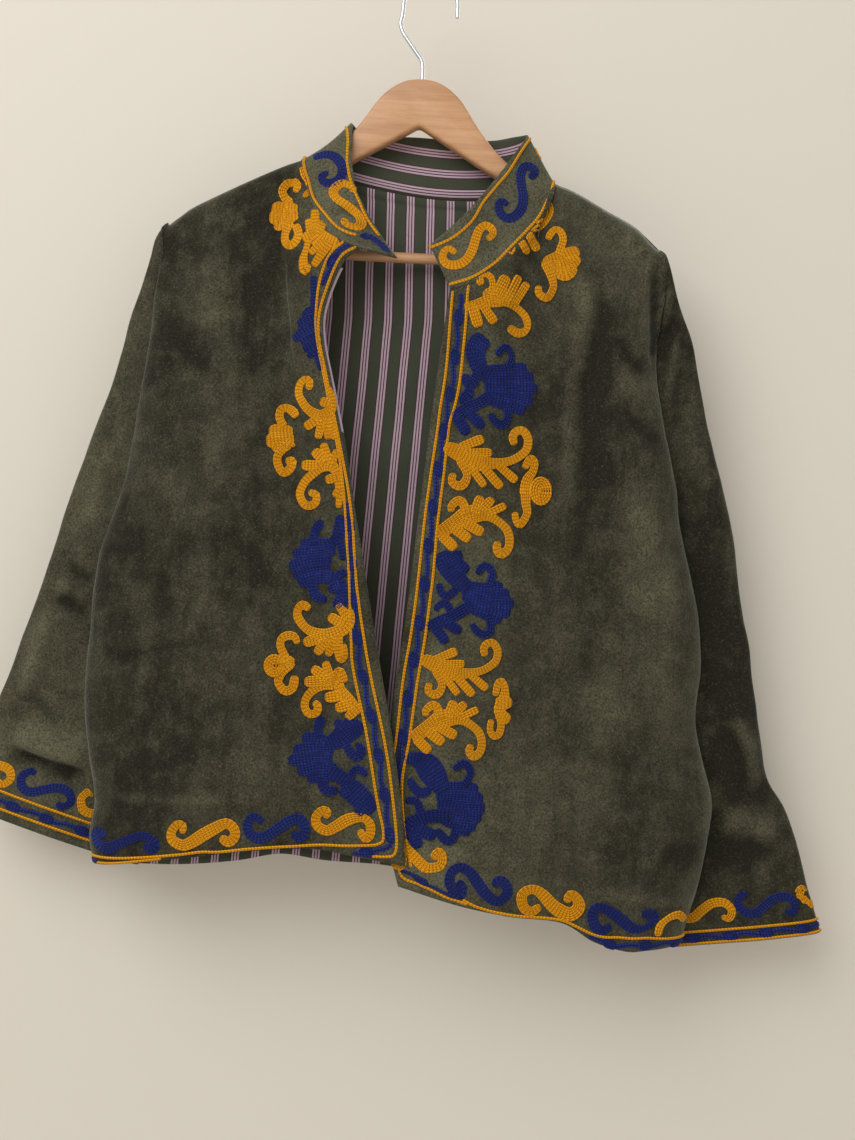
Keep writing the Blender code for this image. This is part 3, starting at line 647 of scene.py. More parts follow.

# %% [markdown]
# ## Folds of each panel
# Long ridges fall from the shoulders, short creases crowd at the armholes, and the sleeves break across
# the elbow. Each is placed one by one with its own size, and fades out where the cloth turns away from the
# front.

# %% Folds of each panel
FOLDS = {  # the line seen from the front in mm, how high it rises, and its reach on either side
    "right_front": (
        (((-256, -589), (-228, -592), (-197, -585), (-160, -572)), -2, (6, 6)),
        (((-252, -500), (-236, -502), (-217, -503)), -1, (5, 5)),
        (((-168, -553), (-160, -537)), 1.2, (4, 4)),
        (((-155, -552), (-151, -535)), 1.0, (4, 4)),
        (((-245, -710), (-201, -710), (-130, -707)), 1.5, (5, 2.2)),
        (((-252, -706), (-241, -718)), 1.8, (4, 4)),
        (((-127, -238), (-121, -299), (-128, -372)), -1.1, (30, 26)),
        (((-166, -242), (-172, -276), (-176, -321)), 1.8, (18, 16)),
        (((-222, -279), (-219, -293), (-221, -308)), 1.5, (3, 3)),
        (((-212, -293), (-189, -330), (-163, -349)), -1.4, (10, 10)),
        (((-236, -437), (-211, -444), (-177, -458)), 1.6, (14, 12)),
        (((-99, -183), (-97, -204)), 0.8, (3, 3)),
    ),
    "left_front": (
        (((206, -221), (196, -243), (198, -299), (204, -334)), 1.4, (3, 3)),
        (((207, -225), (203, -250), (205, -310), (209, -338)), -1.5, (8, 4)),
        (((214, -254), (210, -282), (209, -304)), 1.8, (4, 4)),
        (((219, -286), (210, -301), (204, -318)), -1.8, (5, 5)),
        (((141, -199), (144, -225), (147, -254), (137, -364), (136, -478)), 2.6, (11, 9)),
        (((146, -203), (152, -257), (159, -297), (148, -383)), -2.2, (9, 12)),
        (((160, -293), (163, -320), (165, -349)), 0.6, (2.5, 2.5)),
        (((169, -298), (186, -320), (200, -337)), -1.6, (6, 7)),
        (((176, -349), (198, -381), (218, -398)), -1.6, (9, 7)),
        (((150, -289), (151, -383), (148, -469)), -1.5, (26, 22)),
        (((194, -414), (208, -488), (214, -554)), 2.5, (20, 22)),
        (((258, -634), (265, -660), (268, -692), (267, -728)), 1.6, (4, 4)),
        (((228, -735), (253, -732), (266, -724)), -1.8, (7, 6)),
        (((246, -753), (261, -735)), -1.5, (6, 5)),
        (((168, -764), (196, -770), (221, -774), (243, -775), (259, -775)), 2, (6, 2.2)),
        (((122, -625), (174, -656), (232, -661)), -1.4, (26, 24)),
        (((7, -751), (19, -751), (30, -755), (42, -762), (55, -770), (66, -772)), 4, (18, 2.5)),
    ),
    "right_sleeve": (
        (((-335, -670), (-330, -672), (-296, -683), (-258, -692)), 5.5, (16, 2.4)),
        (((-335, -679), (-330, -680), (-295, -691), (-258, -700)), -4, (4, 10)),
        (((-289, -518), (-273, -527), (-265, -532)), -1.8, (5, 6)),
        (((-302, -548), (-287, -550), (-266, -562)), -2.6, (6, 6)),
        (((-295, -529), (-288, -544)), 2.4, (5, 5)),
        (((-304, -552), (-316, -609), (-324, -637)), 2.6, (8, 9)),
        (((-326, -630), (-306, -642), (-283, -658)), -1.6, (7, 6)),
        (((-250, -402), (-261, -436), (-277, -496)), 2, (9, 9)),
    ),
    "collar": (
        (((-76, -214), (-65, -207), (-52, -211)), -1.3, (3.5, 3.5)),
        (((-74, -221), (-63, -216), (-53, -218)), 0.9, (3.5, 3.5)),
    ),
    "left_sleeve": (
        (((206, -240), (208, -268), (213, -306)), -2.6, (7, 7)),
        (((217, -251), (214, -276), (213, -298)), 3, (5, 5)),
        (((226, -281), (215, -300), (208, -317)), -3, (5, 5)),
        (((226, -283), (225, -303), (220, -361)), 2, (4, 4)),
        (((285, -614), (299, -629), (309, -647), (314, -688)), 3, (8, 7)),
        (((278, -632), (296, -654), (305, -698)), -3, (9, 9)),
        (((282, -709), (322, -716), (341, -724)), 3, (15, 10)),
        (((275, -739), (305, -736), (338, -731)), -3, (6, 8)),
        (((256, -485), (271, -535), (286, -568)), -2.5, (14, 12)),
    ),
}


SLEEVE_STILL, SIDE_STILL, TOP_STILL = 16, 12, 9  # rows or columns from a seam to where the cloth is free


def calm(panel, name):
    """1 in the middle of a cloth and 0 where it is sewn to another, so that the seams stay shut."""
    rows, columns = panel.grid.shape[:2]
    row, column = np.meshgrid(np.arange(rows), np.arange(columns), indexing="ij")
    if panel.ring:
        return smooth_step(0, SLEEVE_STILL, row)
    ends = columns - 1 - column
    if name == "back":
        ends = np.minimum(column, ends)
    return smooth_step(0, SIDE_STILL, ends) * smooth_step(0, TOP_STILL, row)


def between(value, start, full, last, stop):
    """Rises from 0 at start to 1 at full, and falls again from last to stop."""
    return smooth_step(start, full, value) * (1 - smooth_step(last, stop, value))


BRUSHED_AND_LIT = {  # how much lighter each cloth is: partly its brushed pile, partly painted light from above on the collar and from the left on the right sleeve, and painted shade on the left sleeve
    "collar": 0.5,
    "right_sleeve": 0.22,
    "left_sleeve": -0.16,
    "right_front": -0.14,
    "left_front": -0.05,
    "back": 0,
}
FOLD_RISE = 1.3  # the drawn heights times this, in mm
FOLD_PAINTED_LIGHT = 0.17  # painted light on a fold's ridge and painted shade in its trough, for each mm of its drawn height
BROAD_WAVE, SMALL_WAVE = (70, 2.2), (28, 0.8)  # the cloth's unevenness: how long and how high, in mm
COLLAR_WAVE = 0.4  # the share of it that the collar has
EDGE_SHADE_WIDTH, EDGE_SHADE_UP = (14, 30), (30, 70, 170, 260)  # painted shade: mm from the open edge and up from the hem
# mm from the open edge where the fronts are lighter, and mm up from the hem where painted light from above
# begins
LIGHTER_EDGE_WIDTH, LIT_FROM_ABOVE_UP = (15, 100), (480, 640)
NAP_AND_PAINTED_LIGHT = {}
for seed, (name, panel) in enumerate(panels.items()):
    height = waviness(panel.grid, *BROAD_WAVE, seed) + waviness(panel.grid, *SMALL_WAVE, seed + 9)
    height = height * (COLLAR_WAVE if name == "collar" else calm(panel, name))
    nap_and_painted_light = np.zeros_like(height)
    for path, rise, widths in FOLDS.get(name, ()):
        facing = np.clip(-2 * panel.out[..., 1] - 0.6, 0, 1)
        found = fold(panel.grid, path, rise, widths) * facing
        height = height + FOLD_RISE * found
        # painted light on the folds' ridges and painted shade in their troughs
        nap_and_painted_light = nap_and_painted_light + FOLD_PAINTED_LIGHT * found
    # partly brushed pile, partly painted light and shade for the whole piece
    nap_and_painted_light = nap_and_painted_light + BRUSHED_AND_LIT[name]
    if name == "left_front":  # lighter towards the hem, and painted shade beside the open edge
        edge_shade = between(panel.up, *EDGE_SHADE_UP)
        nap_and_painted_light = nap_and_painted_light + 0.1 * (1 - smooth_step(200, 420, panel.up))
        # painted shade in a strip beside the open edge
        nap_and_painted_light = nap_and_painted_light - 0.45 * (1 - smooth_step(*EDGE_SHADE_WIDTH, panel.far)) * edge_shade
    if "front" in name:  # lighter beside the open edge, and painted light from above on the upper fronts
        beside = 1 - smooth_step(*LIGHTER_EDGE_WIDTH, panel.far)
        nap_and_painted_light = nap_and_painted_light + 0.32 * beside + 0.2 * smooth_step(*LIT_FROM_ABOVE_UP, panel.up)
    NAP_AND_PAINTED_LIGHT[name] = nap_and_painted_light
    panel.lift(height)
    print(f"{name}: {len(FOLDS.get(name, ()))} folds, the cloth moved by up to {abs(height).max():.1f} mm")

# %% [markdown]
# ## Materials
# A material is a small set of nodes. The class below lets a sum over the surface be written as Python, so
# that 1 - mask adds the node that does it.


# %% Writing materials
class Value:
    """An output of a material's node. Maths on it adds the nodes for that maths."""

    def __init__(self, look, socket):
        self.look, self.socket = look, socket

    def maths(self, operation, *values, **settings):
        sockets = dict(enumerate(values))
        return self.look.node("ShaderNodeMath", {"operation": operation, **settings}, sockets)

    def __add__(self, other):
        return self.maths("ADD", self, other)

    def __sub__(self, other):
        return self.maths("SUBTRACT", self, other)

    def __rsub__(self, other):
        return self.maths("SUBTRACT", other, self)

    def __mul__(self, other):
        return self.maths("MULTIPLY", self, other)

    def __truediv__(self, other):
        return self.maths("DIVIDE", self, other)

    def __abs__(self):
        return self.maths("ABSOLUTE", self)

    __radd__, __rmul__ = __add__, __mul__

    def part(self):
        """What is left over past the whole number below."""
        return self.maths("FRACT", self)

    def held(self):
        """The value, kept between 0 and 1."""
        return self.maths("ADD", self, 0, use_clamp=True)

    def steps(self, start, stop):
        """0 up to start, 1 from stop, and smooth between."""
        settings = {"interpolation_type": "SMOOTHSTEP"}
        sockets = {"Value": self, "From Min": start, "From Max": stop}
        return self.look.node("ShaderNodeMapRange", settings, sockets)


class Look:
    """A material and its nodes."""

    def __init__(self, name):
        self.material = bpy.data.materials.new(name)
        self.material.use_nodes = True
        self.tree = self.material.node_tree
        self.tree.nodes.clear()

    def node(self, kind, settings, sockets, output=0):
        """Adds a node with its settings and the values or links of its sockets, and gives its output."""
        made = self.tree.nodes.new(kind)
        for name, value in settings.items():
            setattr(made, name, value)
        for name, value in sockets.items():
            if isinstance(value, Value):
                self.tree.links.new(value.socket, made.inputs[name])
            else:
                made.inputs[name].default_value = value
        return None if output is None else Value(self, made.outputs[output])

    def place(self):
        """Where on the object, in metres."""
        return self.node("ShaderNodeTexCoord", {}, {}, "Object")

    def on_cloth(self):
        """Across and up the cloth, as two values."""
        spot = self.node("ShaderNodeUVMap", {"uv_map": "cloth"}, {})
        return [self.node("ShaderNodeSeparateXYZ", {}, {0: spot}, k) for k in (0, 1)]

    def stretched(self, spot, scale):
        return self.node("ShaderNodeMapping", {}, {"Vector": spot, "Scale": scale})

    def noise(self, spot, scale, detail=2.0, roughness=0.5):
        sockets = {"Vector": spot, "Scale": scale, "Detail": detail, "Roughness": roughness}
        return self.node("ShaderNodeTexNoise", {}, sockets)

    def attribute(self, name):
        return self.node("ShaderNodeAttribute", {"attribute_name": name}, {}, "Fac")

    def mix(self, mask, first, second):
        """The first colour where the mask is 0 and the second where it is 1."""
        return self.node("ShaderNodeMix", {"data_type": "RGBA"}, {0: mask, 6: first, 7: second}, 2)

    def bump(self, height, distance, strength=1.0):
        sockets = {"Height": height, "Distance": distance, "Strength": strength}
        return self.node("ShaderNodeBump", {}, sockets)

    def finish(self, sockets):
        shader = self.node("ShaderNodeBsdfPrincipled", {}, sockets)
        self.node("ShaderNodeOutputMaterial", {}, {"Surface": shader}, None)
        return self.material


def colour(red, green, blue):
    """A colour as seen on a screen, from 0 to 255, for a shader."""
    shares = [value / 255 for value in (red, green, blue)]
    return (*(s / 12.92 if s < 0.04045 else ((s + 0.055) / 1.055) ** 2.4 for s in shares), 1)


# %% [markdown]
# ## Velvet
# The pile of velvet catches light at a slant, so it glows along its edges, and where a hand has brushed
# it the pile leans another way and looks lighter or darker. The shader's sheen gives the glow. The
# brushed patches are noise of three sizes and a value painted on the cloth, and a fine grain breaks them
# up. That value also holds painted light and shade: lighter ridges and darker troughs on the folds,
# whole pieces lighter or darker as the light falls on them, and painted shade beside the left front's
# open edge.


# %% Velvet
def make_velvet():
    look = Look("velvet")
    spot = look.place()
    broad = look.noise(spot, 9, 3).steps(0.35, 0.65)
    streaks = look.noise(look.stretched(spot, (34, 34, 7)), 1, 4, 0.65).steps(0.34, 0.68)
    crushed = look.noise(spot, 55, 5, 0.65).steps(0.38, 0.68)
    grain = look.noise(spot, 640, 3, 0.7)
    # noise of brushed pile plus the value painted on the cloth, which holds painted light and shade
    nap_and_painted_light = (broad * 0.26 + streaks * 0.24 + crushed * 0.26 + look.attribute("nap_and_painted_light")).held()
    shade = look.mix(nap_and_painted_light, colour(40, 38, 28), colour(103, 101, 79))
    shade = look.mix((grain.steps(0.42, 0.64) * 0.6).held(), shade, colour(24, 23, 16))
    shade = look.mix(((1 - grain).steps(0.56, 0.74) * 0.3).held(), shade, colour(128, 122, 100))
    return look.finish(
        {
            "Base Color": shade,
            "Roughness": 0.9,
            "Specular IOR Level": 0.15,
            "Sheen Weight": 0.5,
            "Sheen Roughness": 0.3,
            "Sheen Tint": (0.78, 0.79, 0.66, 1),
            "Normal": look.bump(grain * 0.7 + crushed * 0.3, 0.0018, 0.7),
        }
    )


VELVET_LOOK = make_velvet()
print(f"velvet: {len(VELVET_LOOK.node_tree.nodes)} nodes")

# %% [markdown]
# ## Striped lining
# The lining is a plain olive cotton with woven stripes: three narrow pink-white ones, edged in maroon, in
# each group. They are worked out from how far across the cloth a point is, so they bend with it.

# %% Striped lining
STRIPE_PITCH = 17.4  # mm from one group of stripes to the next
STRIPE_EDGES = (0.8, 1.7, 3.3, 4.2)  # mm from the group's middle to each change of colour


def make_lining():
    look = Look("striped_lining")
    spot = look.place()
    across, _ = look.on_cloth()
    off = abs((across / (STRIPE_PITCH * MM)).part() - 0.5) * STRIPE_PITCH
    inner, gap, outer, rim = [off.steps(edge - 0.12, edge + 0.12) for edge in STRIPE_EDGES]
    pale = (1 - inner) + gap * (1 - outer)
    weave = look.noise(look.stretched(spot, (900, 900, 300)), 1, 2)
    worn = look.noise(spot, 25, 3)
    ground = look.mix(worn, colour(46, 51, 33), colour(62, 68, 46))
    shade = look.mix(1 - rim, ground, colour(62, 18, 32))
    shade = look.mix(pale, shade, colour(196, 168, 182))
    shade = look.mix(weave * 0.3, shade, colour(30, 28, 22))
    return look.finish(
        {
            "Base Color": shade,
            "Roughness": 0.8,
            "Sheen Weight": 0.1,
            "Normal": look.bump(weave, 0.0004, 0.5),
        }
    )


LINING_LOOK = make_lining()
print(f"striped lining: {len(LINING_LOOK.node_tree.nodes)} nodes, stripes every {STRIPE_PITCH} mm")

# %% [markdown]
# ## Thread
# The embroidery is chain stitch in thick cotton thread. Each row is a little braid: two strands side by
# side with a groove between them. The braid's own shape is modelled, and the material paints shade into
# the groove and the lines where one link passes under the next, and paints small glinting highlights on
# the strands' tops.


# %% Thread
def make_thread(name, groove_shade, plain, bright):
    look = Look(name)
    spot = look.place()
    across, along = look.on_cloth()
    off = abs(across * 2 - 1)
    strand = 1 - (abs(off - 0.5) * 2)
    link = abs((along - off * 0.45).part() - 0.5) * 2
    twist = look.noise(spot, 1100, 2)
    patches = look.noise(spot, 70, 3)
    # painted shade in the groove and between the links; lit marks the strand tops left unshaded
    lit = (strand.steps(0.05, 0.7) * link.steps(0.0, 0.5)).held()
    shade = look.mix(lit, groove_shade, plain)
    # painted highlight: small glints on the lit strand tops
    glint = (twist.steps(0.45, 0.75) * lit * patches.steps(0.3, 0.7)).held()
    return look.finish(
        {
            "Base Color": look.mix(glint, shade, bright),
            "Roughness": 0.7,
            "Specular IOR Level": 0.2,
            "Sheen Weight": 0.04,
            "Normal": look.bump(lit * 0.6 + twist * 0.4, 0.0005, 0.7),
        }
    )


# each thread: its painted groove shade, its own colour, and its painted glint
SAFFRON = (colour(172, 100, 0), colour(240, 170, 2), colour(255, 196, 24))
INDIGO = (colour(6, 10, 42), colour(27, 43, 122), colour(58, 78, 170))
YELLOW_LOOK = make_thread("saffron_thread", *SAFFRON)
BLUE_LOOK = make_thread("indigo_thread", *INDIGO)
for look in (YELLOW_LOOK, BLUE_LOOK):
    print(f"{look.name}: {len(look.node_tree.nodes)} nodes")

# %% [markdown]
# ## The cloth pieces
# Each panel becomes a thin closed shell: its outside is the panel, and Solidify gives it its wall. The
# linings lie just under the velvet, on the same folds.

# %% Shells of cloth
TURNED_IN = 48  # rows of velvet inside a sleeve's top, where its two walls nearly touch
pieces = {}


def mesh_of(name, grid, ring, outward, cloth, looks, wall, shares=None):
    """A closed shell with its outside on the grid. cloth: where each point is on the flat cloth."""
    rows, columns = grid.shape[:2]
    i, j = np.meshgrid(np.arange(rows - 1), np.arange(columns if ring else columns - 1), indexing="ij")
    k = j + 1
    corners = [(i, j), (i, k), (i + 1, k), (i + 1, j)]
    if outward < 0:
        corners = corners[::-1]
    faces = np.stack([row * columns + column % columns for row, column in corners], axis=-1)
    spots = np.stack([cloth[row, column] for row, column in corners], axis=-2)
    mesh = bpy.data.meshes.new(name)
    mesh.from_pydata((grid.reshape(-1, 3) * MM).tolist(), [], faces.reshape(-1, 4).tolist())
    layer = mesh.uv_layers.new(name="cloth")
    layer.data.foreach_set("uv", (spots * MM).astype(np.float32).ravel())
    if shares is not None:
        nap_and_painted_light = mesh.attributes.new("nap_and_painted_light", "FLOAT", "POINT")
        nap_and_painted_light.data.foreach_set("value", shares.astype(np.float32).ravel())
    for look in looks:
        mesh.materials.append(look)
    mesh.shade_smooth()
    obj = add_object(name, mesh)
    solid = obj.modifiers.new("wall", "SOLIDIFY")
    solid.thickness = wall * MM
    solid.offset = -1
    solid.material_offset = len(looks) - 1
    bpy.context.view_layer.objects.active = obj
    bpy.ops.object.modifier_apply(modifier=solid.name)
    if ring:  # the velvet turns in round the armhole
        outer = (rows - 1) * columns
        for face in mesh.polygons[outer : outer + TURNED_IN * columns]:
            face.material_index = 0
    return obj


def flat_places(panel, across=None):
    """Across and up for every point, with one more column where a tube closes."""
    far = panel.far if across is None else across
    up = np.concatenate([panel.up, panel.up[:, :1]], axis=1) if panel.ring else panel.up
    return np.stack([far, up], axis=-1)


def declare(obj, node, panel, rows, columns):
    """Ties a cloth piece to the frame, and states the size it is cut to."""
    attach(obj, "root")
    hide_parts(node)
    grid = panel.grid[rows, columns]
    if panel.ring:
        grid = np.concatenate([grid, grid[:, :1]], axis=1)
    over, down = np.diff(grid, axis=1), np.diff(grid, axis=0)
    widths = np.linalg.norm(over, axis=-1).sum(axis=1)
    width = widths[-1] if panel.ring else widths.max()
    length = np.linalg.norm(down, axis=-1).sum(axis=0).max()
    cells = np.linalg.norm(np.cross(over[:-1], down[:, :-1]), axis=-1)
    area = min(cells.sum(), width * length)
    pieces[obj.name] = (obj, (width * MM, length * MM), area * MM * MM)
    print(f"{obj.name}: cut {width:.0f} by {length:.0f} mm, {area / 100:.0f} square cm")


for name, panel in panels.items():
    looks = [VELVET_LOOK, LINING_LOOK] if panel.ring else [VELVET_LOOK]
    args = (panel.grid, panel.ring, panel.outward, flat_places(panel), looks, VELVET, NAP_AND_PAINTED_LIGHT[name])
    obj = mesh_of(name + "_velvet", *args)
    declare(obj, name, panel, slice(None), slice(None))

# %% [markdown]
# ## Linings
# A lining is cut a little smaller than the velvet and felled to it along the open edges, so each one
# follows its panel's rows and columns, one wall further in. Its stripes run down the fronts and the back,
# and along the collar.


# %% Linings
LINED_ROWS, LINED_COLUMNS = slice(8, -10), slice(0, 70)
FRONT_STRIPES, COLLAR_STRIPES, BACK_STRIPES = 6, 16, 397  # where the stripes start, in mm
STRIPES_TURN, LEAN_BELOW, LEAN_ABOVE = -290, 0.044, -0.03  # the back's stripes lean two ways
NECK_REACH, COLLAR_REACH = 3, 5  # how far the linings of the back and the collar go on, in mm
OPEN_EDGE_REACH, OPEN_EDGE_FADE = 1.9, (290, 365)
PALE_EDGE_FROM = 360  # how far up the right front's lining shows a pale stripe at its edge


def beyond(edge, inner, reach):
    """The edge moved on by so many mm, away from the row inside it."""
    way = edge - inner
    return edge + reach * way / np.linalg.norm(way, axis=-1, keepdims=True)


for name, rows, columns in (
    ("right_front", LINED_ROWS, LINED_COLUMNS),
    ("left_front", LINED_ROWS, LINED_COLUMNS),
    ("back", slice(1, None), slice(3, -3)),
    ("collar", slice(0, -1), slice(1, -1)),
):
    panel = panels[name]
    under = (panel.grid - panel.out * LAYER)[rows, columns]
    up = panel.up[rows, columns].copy()
    if name == "back":
        x, z = panel.grid[rows, columns, 0], panel.grid[rows, columns, 2]
        lean = np.where(z < STRIPES_TURN, LEAN_BELOW, LEAN_ABOVE)
        across = x + BACK_STRIPES - lean * (z - STRIPES_TURN)
        under[0] = beyond(under[0], under[1], NECK_REACH)
    elif name == "collar":  # its lower edge is turned down over the neck seam
        under[-1] = beyond(under[-1], under[-2], COLLAR_REACH)
        up[-1] -= COLLAR_REACH
        across = up - COLLAR_STRIPES + 2 * STRIPE_PITCH
    else:
        across = panel.far[rows, columns] + FRONT_STRIPES
    if name == "right_front":  # it stands a little proud of the upper part of the open edge
        reach = OPEN_EDGE_REACH * smooth_step(*OPEN_EDGE_FADE, up[:, :1])
        under[:, 0] = beyond(under[:, 0], under[:, 1], reach)
        across[:, :2] = np.where(up[:, :2] > PALE_EDGE_FROM, STRIPE_PITCH / 2, 0)
    cloth = np.stack([across, up], axis=-1)
    obj = mesh_of(name + "_lining_cotton", under, False, panel.outward, cloth, [LINING_LOOK], LINING)
    declare(obj, name + "_lining", panel, rows, columns)

# %% [markdown]
# ## Wooden hanger
# The hanger is sawn from one beech board and its edges are rounded over, so its outline is filled, given
# its thickness and beveled. The bar is a turned rod, and the hook one bent wire.

# %% Hanger
HANGER_MIDDLE, HANGER_THICK, HANGER_ROUND = -4, 12, 3.2
HANGER = (  # out from the middle, and the height of the upper and the lower edge
    (0, -86, -127),
    (12, -87.5, -134),
    (24, -93.5, -141.2),
    (35, -103.5, -147.8),
    (45, -118, -153.8),
    (52, -128, -158),
    (62, -140, -164),
    (74, -152, -171.2),
    (88, -162.2, -179.6),
    (104, -173.6, -189.2),
    (130, -185, -204.8),
    (160, -199, -222.8),
    (185, -212, -237.8),
    (200, -221, -247),
    (208, -226.5, -247.5),
    (212, -232, -243),
)
BAR_Z, BAR_RADIUS, BAR_HALF_LENGTH, BAR_ROUND = -239, 4.5, 200, 0.8
WIRE_RADIUS, HOOK_RADIUS, HOOK_TIP_DROP = 1.75, 23.3, 9
HOOK_STEM = (  # the wire's middle, below the bow
    (-23.8, -31),
    (-25, -38),
    (-22.8, -45),
    (-18, -52),
    (-9.6, -63),
    (-5.4, -69),
    (-4, -76),
    (-4, -88),
)
HOOK_FOOT = -104


def make_wood():
    look = Look("beech")
    spot = look.place()
    grain = look.noise(look.stretched(spot, (9, 120, 120)), 1, 4, 0.6)
    pores = look.noise(look.stretched(spot, (120, 1500, 1500)), 1, 2)
    shade = look.mix(grain.steps(0.3, 0.7), colour(178, 126, 84), colour(206, 156, 110))
    shade = look.mix((pores.steps(0.55, 0.75) * 0.35).held(), shade, colour(150, 100, 62))
    return look.finish(
        {
            "Base Color": shade,
            "Roughness": 0.42 + grain * 0.12,
            "Coat Weight": 0.25,
            "Coat Roughness": 0.25,
            "Normal": look.bump(pores, 0.0002, 0.4),
        }
    )


def make_wire():
    look = Look("bright_steel")
    worn = look.noise(look.place(), 300, 3)
    return look.finish(
        {
            "Base Color": look.mix(worn, colour(196, 198, 202), colour(226, 227, 230)),
            "Metallic": 1.0,
            "Roughness": 0.14 + worn * 0.12,
        }
    )


WOOD_LOOK, WIRE_LOOK = make_wood(), make_wire()


def active(obj):
    bpy.ops.object.select_all(action="DESELECT")
    obj.select_set(True)
    bpy.context.view_layer.objects.active = obj


def tie(obj, node, look):
    obj.data.materials.clear()
    obj.data.materials.append(look)
    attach(obj, "root")
    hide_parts(node)


def round_edges(obj, width, segments):
    """Rounds over the sharp edges of the active object."""
    rounded = obj.modifiers.new("round", "BEVEL")
    rounded.width = width * MM
    rounded.segments = segments
    rounded.limit_method = "ANGLE"
    rounded.angle_limit = math.radians(50)
    bpy.ops.object.modifier_apply(modifier="round")
    bpy.ops.object.shade_smooth_by_angle(angle=math.radians(35))


def make_hanger():
    rows = smooth_line([(out, 0, top) for out, top, _ in HANGER[:-3]])(even(200, 5))
    upper = [(x, z) for x, _, z in rows] + [(out, top) for out, top, _ in HANGER[-3:]]
    rows = smooth_line([(out, 0, low) for out, _, low in HANGER])(even(230, 5))
    half = upper + [(x, z) for x, _, z in rows[::-1]]
    outline = half + [(-x, z) for x, z in half[::-1][1:-1] if x > 0.01]
    mesh = bpy.data.meshes.new("hanger_wood")
    corners = [((HANGER_MIDDLE + x) * MM, -HANGER_THICK / 2 * MM, z * MM) for x, z in outline]
    mesh.from_pydata(corners, [], [tuple(range(len(corners)))])
    obj = add_object("hanger_wood", mesh)
    active(obj)
    bpy.ops.object.mode_set(mode="EDIT")
    bpy.ops.mesh.select_all(action="SELECT")
    bpy.ops.mesh.extrude_region_move(TRANSFORM_OT_translate={"value": (0, HANGER_THICK * MM, 0)})
    bpy.ops.mesh.select_all(action="SELECT")
    bpy.ops.mesh.normals_make_consistent(inside=False)
    bpy.ops.object.mode_set(mode="OBJECT")
    round_edges(obj, HANGER_ROUND, 5)
    tie(obj, "hanger_body", WOOD_LOOK)
    bpy.ops.mesh.primitive_cylinder_add(
        vertices=32,
        radius=BAR_RADIUS * MM,
        depth=2 * BAR_HALF_LENGTH * MM,
        location=(HANGER_MIDDLE * MM, 0, BAR_Z * MM),
        rotation=(0, math.pi / 2, 0),
    )
    bar = bpy.context.object
    bar.name = "hanger_bar_wood"
    bpy.ops.object.transform_apply(location=True, rotation=True, scale=True)
    round_edges(bar, BAR_ROUND, 2)
    tie(bar, "hanger_bar", WOOD_LOOK)
    print(f"hanger: {len(obj.data.vertices)} points, bar {2 * BAR_HALF_LENGTH} mm long")


def make_hook():
    centre = WIRE_RADIUS - HOOK_RADIUS
    route = [(HOOK_RADIUS, centre - HOOK_TIP_DROP), (HOOK_RADIUS, centre - HOOK_TIP_DROP / 2)]
    for angle in np.radians(np.arange(0, 181, 6)):
        route.append((HOOK_RADIUS * math.cos(angle), centre + HOOK_RADIUS * math.sin(angle)))
    route += [tuple(p) for p in smooth_line([route[-1], *HOOK_STEM])(even(76, 2))[1:]]
    route.append((HANGER_MIDDLE, HOOK_FOOT))
    curve = bpy.data.curves.new("hook_wire", "CURVE")
    curve.dimensions = "3D"
    curve.bevel_depth = WIRE_RADIUS * MM
    curve.bevel_resolution = 6
    curve.use_fill_caps = True
    spline = curve.splines.new("POLY")
    spline.points.add(len(route) - 1)
    for point, (x, z) in zip(spline.points, route):
        point.co = (x * MM, 0, z * MM, 1)
    obj = add_object("hook_wire", curve)
    active(obj)
    bpy.ops.object.convert(target="MESH")
    obj = bpy.context.object
    bpy.ops.object.shade_smooth_by_angle(angle=math.radians(40))
    tie(obj, "hanger_hook", WIRE_LOOK)
    print(f"hook: {len(obj.data.vertices)} points round a wire of {2 * WIRE_RADIUS} mm")


make_hanger()
make_hook()

# %% [markdown]
# ## Embroidery
# Every motif is a few strokes, each a centre line with a width at each point. A stroke is filled with
# rows of chain stitch that run along it side by side, as the needle works it. A row is laid on the cloth
# point by point, either at a distance from the edge and from the hem, or where it is seen on the hanging
# coat.

# %% Rows of chain stitch
STITCH = 2.8  # mm, length of one link
ROW = 2.1  # mm, width of one row
ROW_LEAST = 1.4
ROW_ACROSS = np.array((-1, -0.5, 0, 0.5, 1))
ROW_RISE = np.array((-0.3, 1.0, 0.75, 1.0, -0.3))  # mm above the velvet, across one row
HALF_LINK = STITCH / 2
threads = {}


def spaced(path):
    """A path of x, y and width, with a point every half link."""
    line = smooth_line(path)
    middle = line(np.linspace(0, 1, 60))[:, :2]
    length = np.linalg.norm(np.diff(middle, axis=0), axis=1).sum()
    count = max(2, 2 * round(length / HALF_LINK / 2))
    return line(np.linspace(0, 1, count + 1))


def rows_of(path):
    """The rows that fill one stroke, closing up at its ends: each an array of x, y and the row's width."""
    points = spaced(path)
    middle, width = points[:, :2], points[:, 2]
    along = np.gradient(middle, axis=0)
    along /= np.linalg.norm(along, axis=1, keepdims=True)
    across = np.stack([-along[:, 1], along[:, 0]], axis=1)
    done = np.concatenate([[0], np.cumsum(np.linalg.norm(np.diff(middle, axis=0), axis=1))])
    count = max(1, round(width.max() / ROW))
    near_end = np.minimum(done / width[0], (done[-1] - done) / width[-1]) * 2
    if count > 1:
        width = width * np.sqrt(np.clip(1 - (1 - np.clip(near_end, 0, 1)) ** 2, 0.12, 1))
    rows = []
    for k in range(count):
        off = (2 * k + 1) / count - 1
        row = middle + across * (off * width / 2)[:, None]
        rows.append(np.column_stack([row, np.maximum(width / count, ROW_LEAST)]))
    return rows


